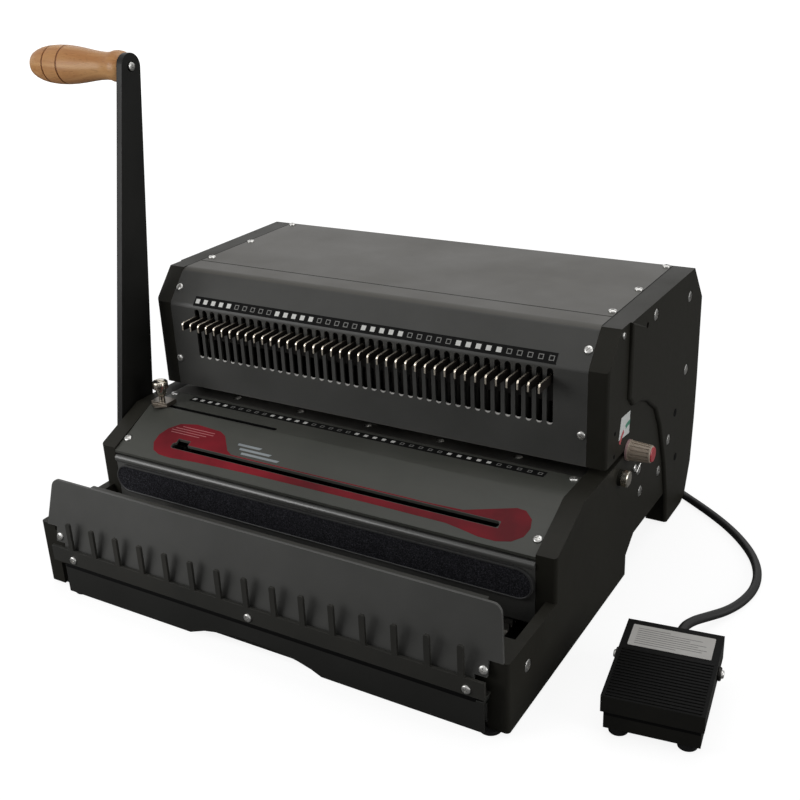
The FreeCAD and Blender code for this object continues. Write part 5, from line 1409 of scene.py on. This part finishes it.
@dataclass
class Pedal:
    """The foot pedal with its ribbed tread and plain label.

    Everything is placed in the pedal's own millimetres, from the middle of its footprint; a
    rule of the label is its place across and what it is short of full length.
    """

    shop: Shop
    centre: Point = (287.4, 77.3, 0.0)
    turn: float = 8.0
    top: float = 32.0
    drop: float = 2.5
    reach: float = 43.5
    rib: Point = (61.0, 2.1, 0.7)
    rib_pitch: float = 3.1
    rib_count: int = 17
    first_rib: float = -40.5
    rib_lift: float = 0.25
    label_y: float = 26.0
    label_half: tuple[float, float] = (28.0, 12.0)
    rule_half: float = 24.0
    rule_width: float = 0.5
    rules: Outline = ((-9, 20), (-6.6, 3), (-4.2, 0), (-1.8, 6), (0.6, 1), (3.0, 12), (5.4, 4),
                      (7.8, 26))
    pivot: Point = (33.0, 14.5, 21.5)
    pivot_profile: Outline = (
        (-3.7, 0.01), (-3.7, 2.45), (0.3, 2.45), (0.3, 4.6), (0.6, 4.8), (1.7, 4.8), (2.3, 4.2),
        (2.4, 2.9), (3.4, 2.7), (3.9, 2.2), (4.0, 0.01))
    washer_edge: float = 35.35
    foot: Point = (22.3, 34.4, 3.0)
    foot_profile: Outline = ((0, 0.01), (0, 6.2), (-2.6, 6.8), (-5.0, 6.6), (-6, 5.4), (-6, 0.01))
    # Size and place of the painted shadow strip under the tread's front edge.
    shadow_block: Point = (61.6, 0.4, 2.8)
    shadow_block_place: Point = (0, -41.35, 14.6)

    def place(self, *own: float) -> Matrix:
        """Return the matrix that puts a piece at a place of the pedal's own."""
        turn = Matrix.Rotation(math.radians(self.turn), 4, "Z")
        return (Matrix.Translation(spot(*self.centre)) @ turn
                @ Matrix.Translation(Vector(own or (0, 0, 0)) * MM))

    def build(self) -> None:
        """Build the pedal's pieces."""
        shop = self.shop
        plate = shop.eased("pedal_plate", 0.8, "pedal_black", "pedal_steel", segments=3)
        shop.repaint(plate, 1, lambda centre, normal: normal.z < 0.6)
        shop.eased("pedal_base", 0.5)
        self.ribs()
        self.label()
        self.pivots()
        self.feet()
        # Painted shadow: a near-black strip on the base's front, under the tread's front edge.
        painted_shadow = settle(slab("pedal_painted_shadow", self.shadow_block), self.place(*self.shadow_block_place))
        ease(painted_shadow, 0.1)
        shop.complete(painted_shadow, "painted_shade", "pedal_steel")

    def tread(self, y: float) -> float:
        """Return the tread's level at a distance back from the pedal's middle."""
        return self.top - self.drop * (self.reach - y) / (2 * self.reach)

    def ribs(self) -> None:
        """Lay the row of rubber ribs across the tread."""
        rib = slab("pedal_rib", self.rib)
        ease(rib, 0.3)
        rows = [self.first_rib + self.rib_pitch * index for index in range(self.rib_count)]
        ribs = stamped(rib, [self.place(0, y, self.tread(y) + self.rib_lift) for y in rows],
                       "pedal_ribs")
        self.shop.complete(ribs, "pedal_black", "pedal_black", body="treadle", shade=32)

    def label(self) -> None:
        """Lay a plain pale plate with a few ruled lines on the back of the tread."""
        tilt = Matrix.Rotation(math.atan2(self.drop, 2 * self.reach), 4, "X")
        place = self.place(0, self.label_y, self.tread(self.label_y) + 0.02) @ tilt
        wide, deep = self.label_half
        self.shop.lay("pedal_label", [rounded_box(-wide, wide, -deep, deep, 1)], 0.25, place,
                      "label_pale", "pedal_black", "treadle")
        half, width = self.rule_half, self.rule_width
        rules = [[(-half, v), (half - cut, v), (half - cut, v + width), (-half, v + width)]
                 for v, cut in self.rules]
        self.shop.lay("pedal_label_rules", rules, 0.29, place, "label_line", "pedal_black",
                      "treadle")

    def pivots(self) -> None:
        """Build the two pivot screws with their dark washers."""
        x, y, z = self.pivot
        places = [self.place() @ looking(Vector((sign * x, y, z)) * MM, (sign, 0, 0))
                  for sign in (1, -1)]
        pins = stamped(turned("pedal_pivot", self.pivot_profile, 30), places,
                       "pedal_pivots_dressed")
        smooth(pins)
        self.shop.dress(pins, "screw_steel", "blackened_steel")
        near = self.place().inverted()
        self.shop.repaint(pins, 1, lambda centre, normal:
                          abs((near @ centre).x) < self.washer_edge * MM)
        self.shop.fit(pins, "machine", "screw_steel", "pedal_pivots")

    def feet(self) -> None:
        """Build the round rubber feet."""
        x, y, z = self.foot
        places = [self.place() @ looking(Vector((x * side, y * end, z)) * MM, (0, 0, 1))
                  for side in (1, -1) for end in (1, -1)]
        feet = stamped(turned("pedal_foot", self.foot_profile, 30), places, "pedal_feet_dressed")
        self.shop.complete(feet, "rubber", "rubber", "pedal_feet", shade=32)


@dataclass
class Cord:
    """The pedal's cord, on the same points as its CAD route."""

    shop: Shop
    diameter: float = 7.0
    length: float = 500.0
    route: tuple[Point, ...] = (
        (97.3, 381, 46), (97.0, 402, 45.4), (97.8, 423, 42), (108, 441.5, 34),
        (126.6, 452, 23.5), (148, 452, 13), (166.6, 441, 5.2), (177.3, 422.7, 1.6),
        (178, 402.5, 0.7), (187, 384.5, 0.5), (204.5, 371.8, 0.5), (222.5, 359, 0.5),
        (241, 345.5, 0.5), (262, 328, 0.5), (280.5, 308, 0.5), (295.5, 286, 0.5),
        (304.5, 263, 0.5), (307, 240, 0.5), (303.5, 219, 0.6), (296.5, 200, 1.6),
        (287.5, 181, 5.5), (280.8, 163, 10.5), (277.98, 144.34, 14), (280.86, 123.84, 14))

    def build(self) -> None:
        """Lay the cord."""
        curve = bpy.data.curves.new("pedal_cord_flex", "CURVE")
        curve.dimensions = "3D"
        curve.bevel_depth = self.diameter / 2 * MM
        curve.bevel_resolution = 6
        curve.use_fill_caps = True
        curve.resolution_u = 8
        spline = curve.splines.new("NURBS")
        spline.points.add(len(self.route) - 1)
        for point, place in zip(spline.points, self.route):
            point.co = (*spot(*place), 1)
        spline.order_u = 3
        spline.use_endpoint_u = True
        flex = bpy.data.objects.new("pedal_cord_flex", curve)
        bpy.context.scene.collection.objects.link(flex)
        curve.materials.append(self.shop.finishes["cord_black"])
        self.shop.fit(flex, "machine", "rubber", "pedal_cord")


# The stage, in metres and watts


@dataclass(frozen=True)
class Lamp:
    """One square soft lamp."""

    name: str
    where: Point
    aim: Point
    size: float
    watts: float

    def hang(self) -> None:
        """Hang the lamp and point it."""
        data = bpy.data.lights.new(self.name, "AREA")
        data.shape = "SQUARE"
        data.size = self.size
        data.energy = self.watts
        lamp = bpy.data.objects.new(self.name, data)
        bpy.context.scene.collection.objects.link(lamp)
        way = Vector(self.aim) - Vector(self.where)
        turn = way.to_track_quat("-Z", "Y").to_matrix().to_4x4()
        lamp.matrix_world = Matrix.Translation(self.where) @ turn


@dataclass
class Studio:
    """Camera, lamps, sky and floor.

    The camera's place is in machine millimetres and its axes point right, up and back.
    """

    position: Point = (461.419, -526.271, 491.185)
    right: Point = (0.86097325, 0.50686896, -0.04253144)
    up: Point = (-0.16699634, 0.36065991, 0.91762555)
    back: Point = (0.48045529, -0.78294846, 0.3951638)
    focal_pixels: float = 1112.2
    frame_pixels: float = 800.0
    sensor: float = 36.0
    lamps: tuple[Lamp, ...] = (
        Lamp("top", (0.1, 0.4, 1.8), (0, 0.05, 0.1), 1.6, 11),
        Lamp("key", (-0.55, -0.6, 0.42), (-0.08, -0.03, 0.1), 0.5, 3.1),
        Lamp("side", (1.6, 0.05, 0.55), (0.2, 0, 0.1), 1.0, 8.5),
        Lamp("back", (-0.8, 1.4, 0.9), (0, 0.1, 0.2), 1.6, 4))
    sky: float = 0.12
    sky_mirrored: float = 0.6
    floor_size: float = 30.0
    floor_tone: float = 0.25
    floor_tone_shown: float = 0.9
    floor_glow: float = 1.22
    glow_reach: tuple[float, float] = (0.5, 3.0)
    glow_near: float = 0.72

    def build(self) -> None:
        """Set the whole stage."""
        self.camera()
        for lamp in self.lamps:
            lamp.hang()
        self.world()
        self.floor()
        bpy.context.scene.view_settings.view_transform = "Standard"

    def camera(self) -> None:
        """Stand the camera where the photograph was taken."""
        data = bpy.data.cameras.new("camera")
        data.sensor_width = self.sensor
        data.lens = self.sensor * self.focal_pixels / self.frame_pixels
        data.clip_start = 0.01
        camera = bpy.data.objects.new("camera", data)
        bpy.context.scene.collection.objects.link(camera)
        turn = Matrix((self.right, self.up, self.back)).transposed().to_4x4()
        camera.matrix_world = Matrix.Translation(spot(*self.position)) @ turn
        bpy.context.scene.camera = camera

    def world(self) -> None:
        """Light softly from all round, brighter in reflections and white to the camera."""
        world = bpy.data.worlds.new("world")
        bpy.context.scene.world = world
        world.use_nodes = True
        wires = Wiring(world.node_tree)
        seen = wires.add("LightPath")
        shown = wires.ranged(seen.outputs["Is Camera Ray"], 0, 1, self.sky, 1.0)
        mirrored = wires.ranged(seen.outputs["Is Glossy Ray"], 0, 1, self.sky,
                                self.sky_mirrored)
        base = world.node_tree.nodes["Background"]
        base.inputs["Color"].default_value = (1, 1, 1, 1)
        wires.feed(base.inputs["Strength"], wires.math("MAXIMUM", shown, mirrored))

    def floor(self) -> None:
        """Lay a plain floor that looks white to the camera and brightens away from the part."""
        deselect()
        bpy.ops.mesh.primitive_plane_add(size=self.floor_size,
                                         location=(0, 0, FLOOR_LEVEL * MM))
        floor = bpy.context.object
        floor.name = "floor"
        material = bpy.data.materials.new("floor_white")
        material.use_nodes = True
        wires = Wiring(material.node_tree)
        shader = material.node_tree.nodes["Principled BSDF"]
        shader.inputs["Roughness"].default_value = 1.0
        shader.inputs["Specular IOR Level"].default_value = 0.0
        glow = wires.add("Emission", Color=(1, 1, 1, 1), Strength=self.floor_glow)
        seen = wires.add("LightPath").outputs["Is Camera Ray"]
        hidden, shown = ((tone, tone, tone, 1) for tone in (self.floor_tone,
                                                            self.floor_tone_shown))
        wires.feed(shader.inputs["Base Color"], wires.blend(seen, hidden, shown))
        away = wires.add("VectorMath", {"operation": "LENGTH"})
        wires.feed(away.inputs[0], wires.place())
        share = wires.ranged(away.outputs["Value"], *self.glow_reach, self.glow_near, 1.0)
        mix = wires.add("MixShader")
        for socket, value in zip(mix.inputs, (wires.math("MULTIPLY", seen, share),
                                              shader.outputs[0], glow.outputs[0])):
            wires.feed(socket, value)
        output = material.node_tree.nodes["Material Output"]
        wires.feed(output.inputs["Surface"], mix.outputs[0])
        floor.data.materials.append(material)


@dataclass
class Insides:
    """The mechanism and the base, which keep their CAD shapes."""

    shop: Shop
    steel: tuple[str, ...] = ("die_plate", "guide_rods", "eccentric_shaft", "drive_gear",
                              "motor_pinion", "closer_shaft", "closer_pinions", "closer_racks",
                              "margin_shaft", "back_gauge")
    dark: tuple[str, ...] = ("ram", "punch_pins", "pin_guide")
    plain: tuple[str, ...] = ("shaft_bushes", "base_pan", "rear_floor", "motor")

    def build(self) -> None:
        """Give the inner nodes their finishes and ease the few that show."""
        self.shop.keep(*self.steel, finish="tool_steel")
        self.shop.keep(*self.dark, finish="blackened_steel")
        self.shop.keep(*self.plain)
        self.shop.eased("closing_bar", 0.4)
        self.shop.eased("chip_tray", 0.3)
        self.shop.eased("machine_feet", 0.6)


def main() -> None:
    """Build the machine's looks, its stage and its camera."""
    logging.basicConfig(level=logging.INFO, format="%(name)s: %(message)s")
    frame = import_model()
    Studio().build()
    shop = Shop(frame)
    Cord(shop).build()
    for assembly in (Insides(shop), SideFrames(shop), Head(shop), Marks(shop), WireBed(shop),
                     Front(shop), Lever(shop), Flank(shop), Pedal(shop)):
        assembly.build()


if __name__ == "__main__":
    main()
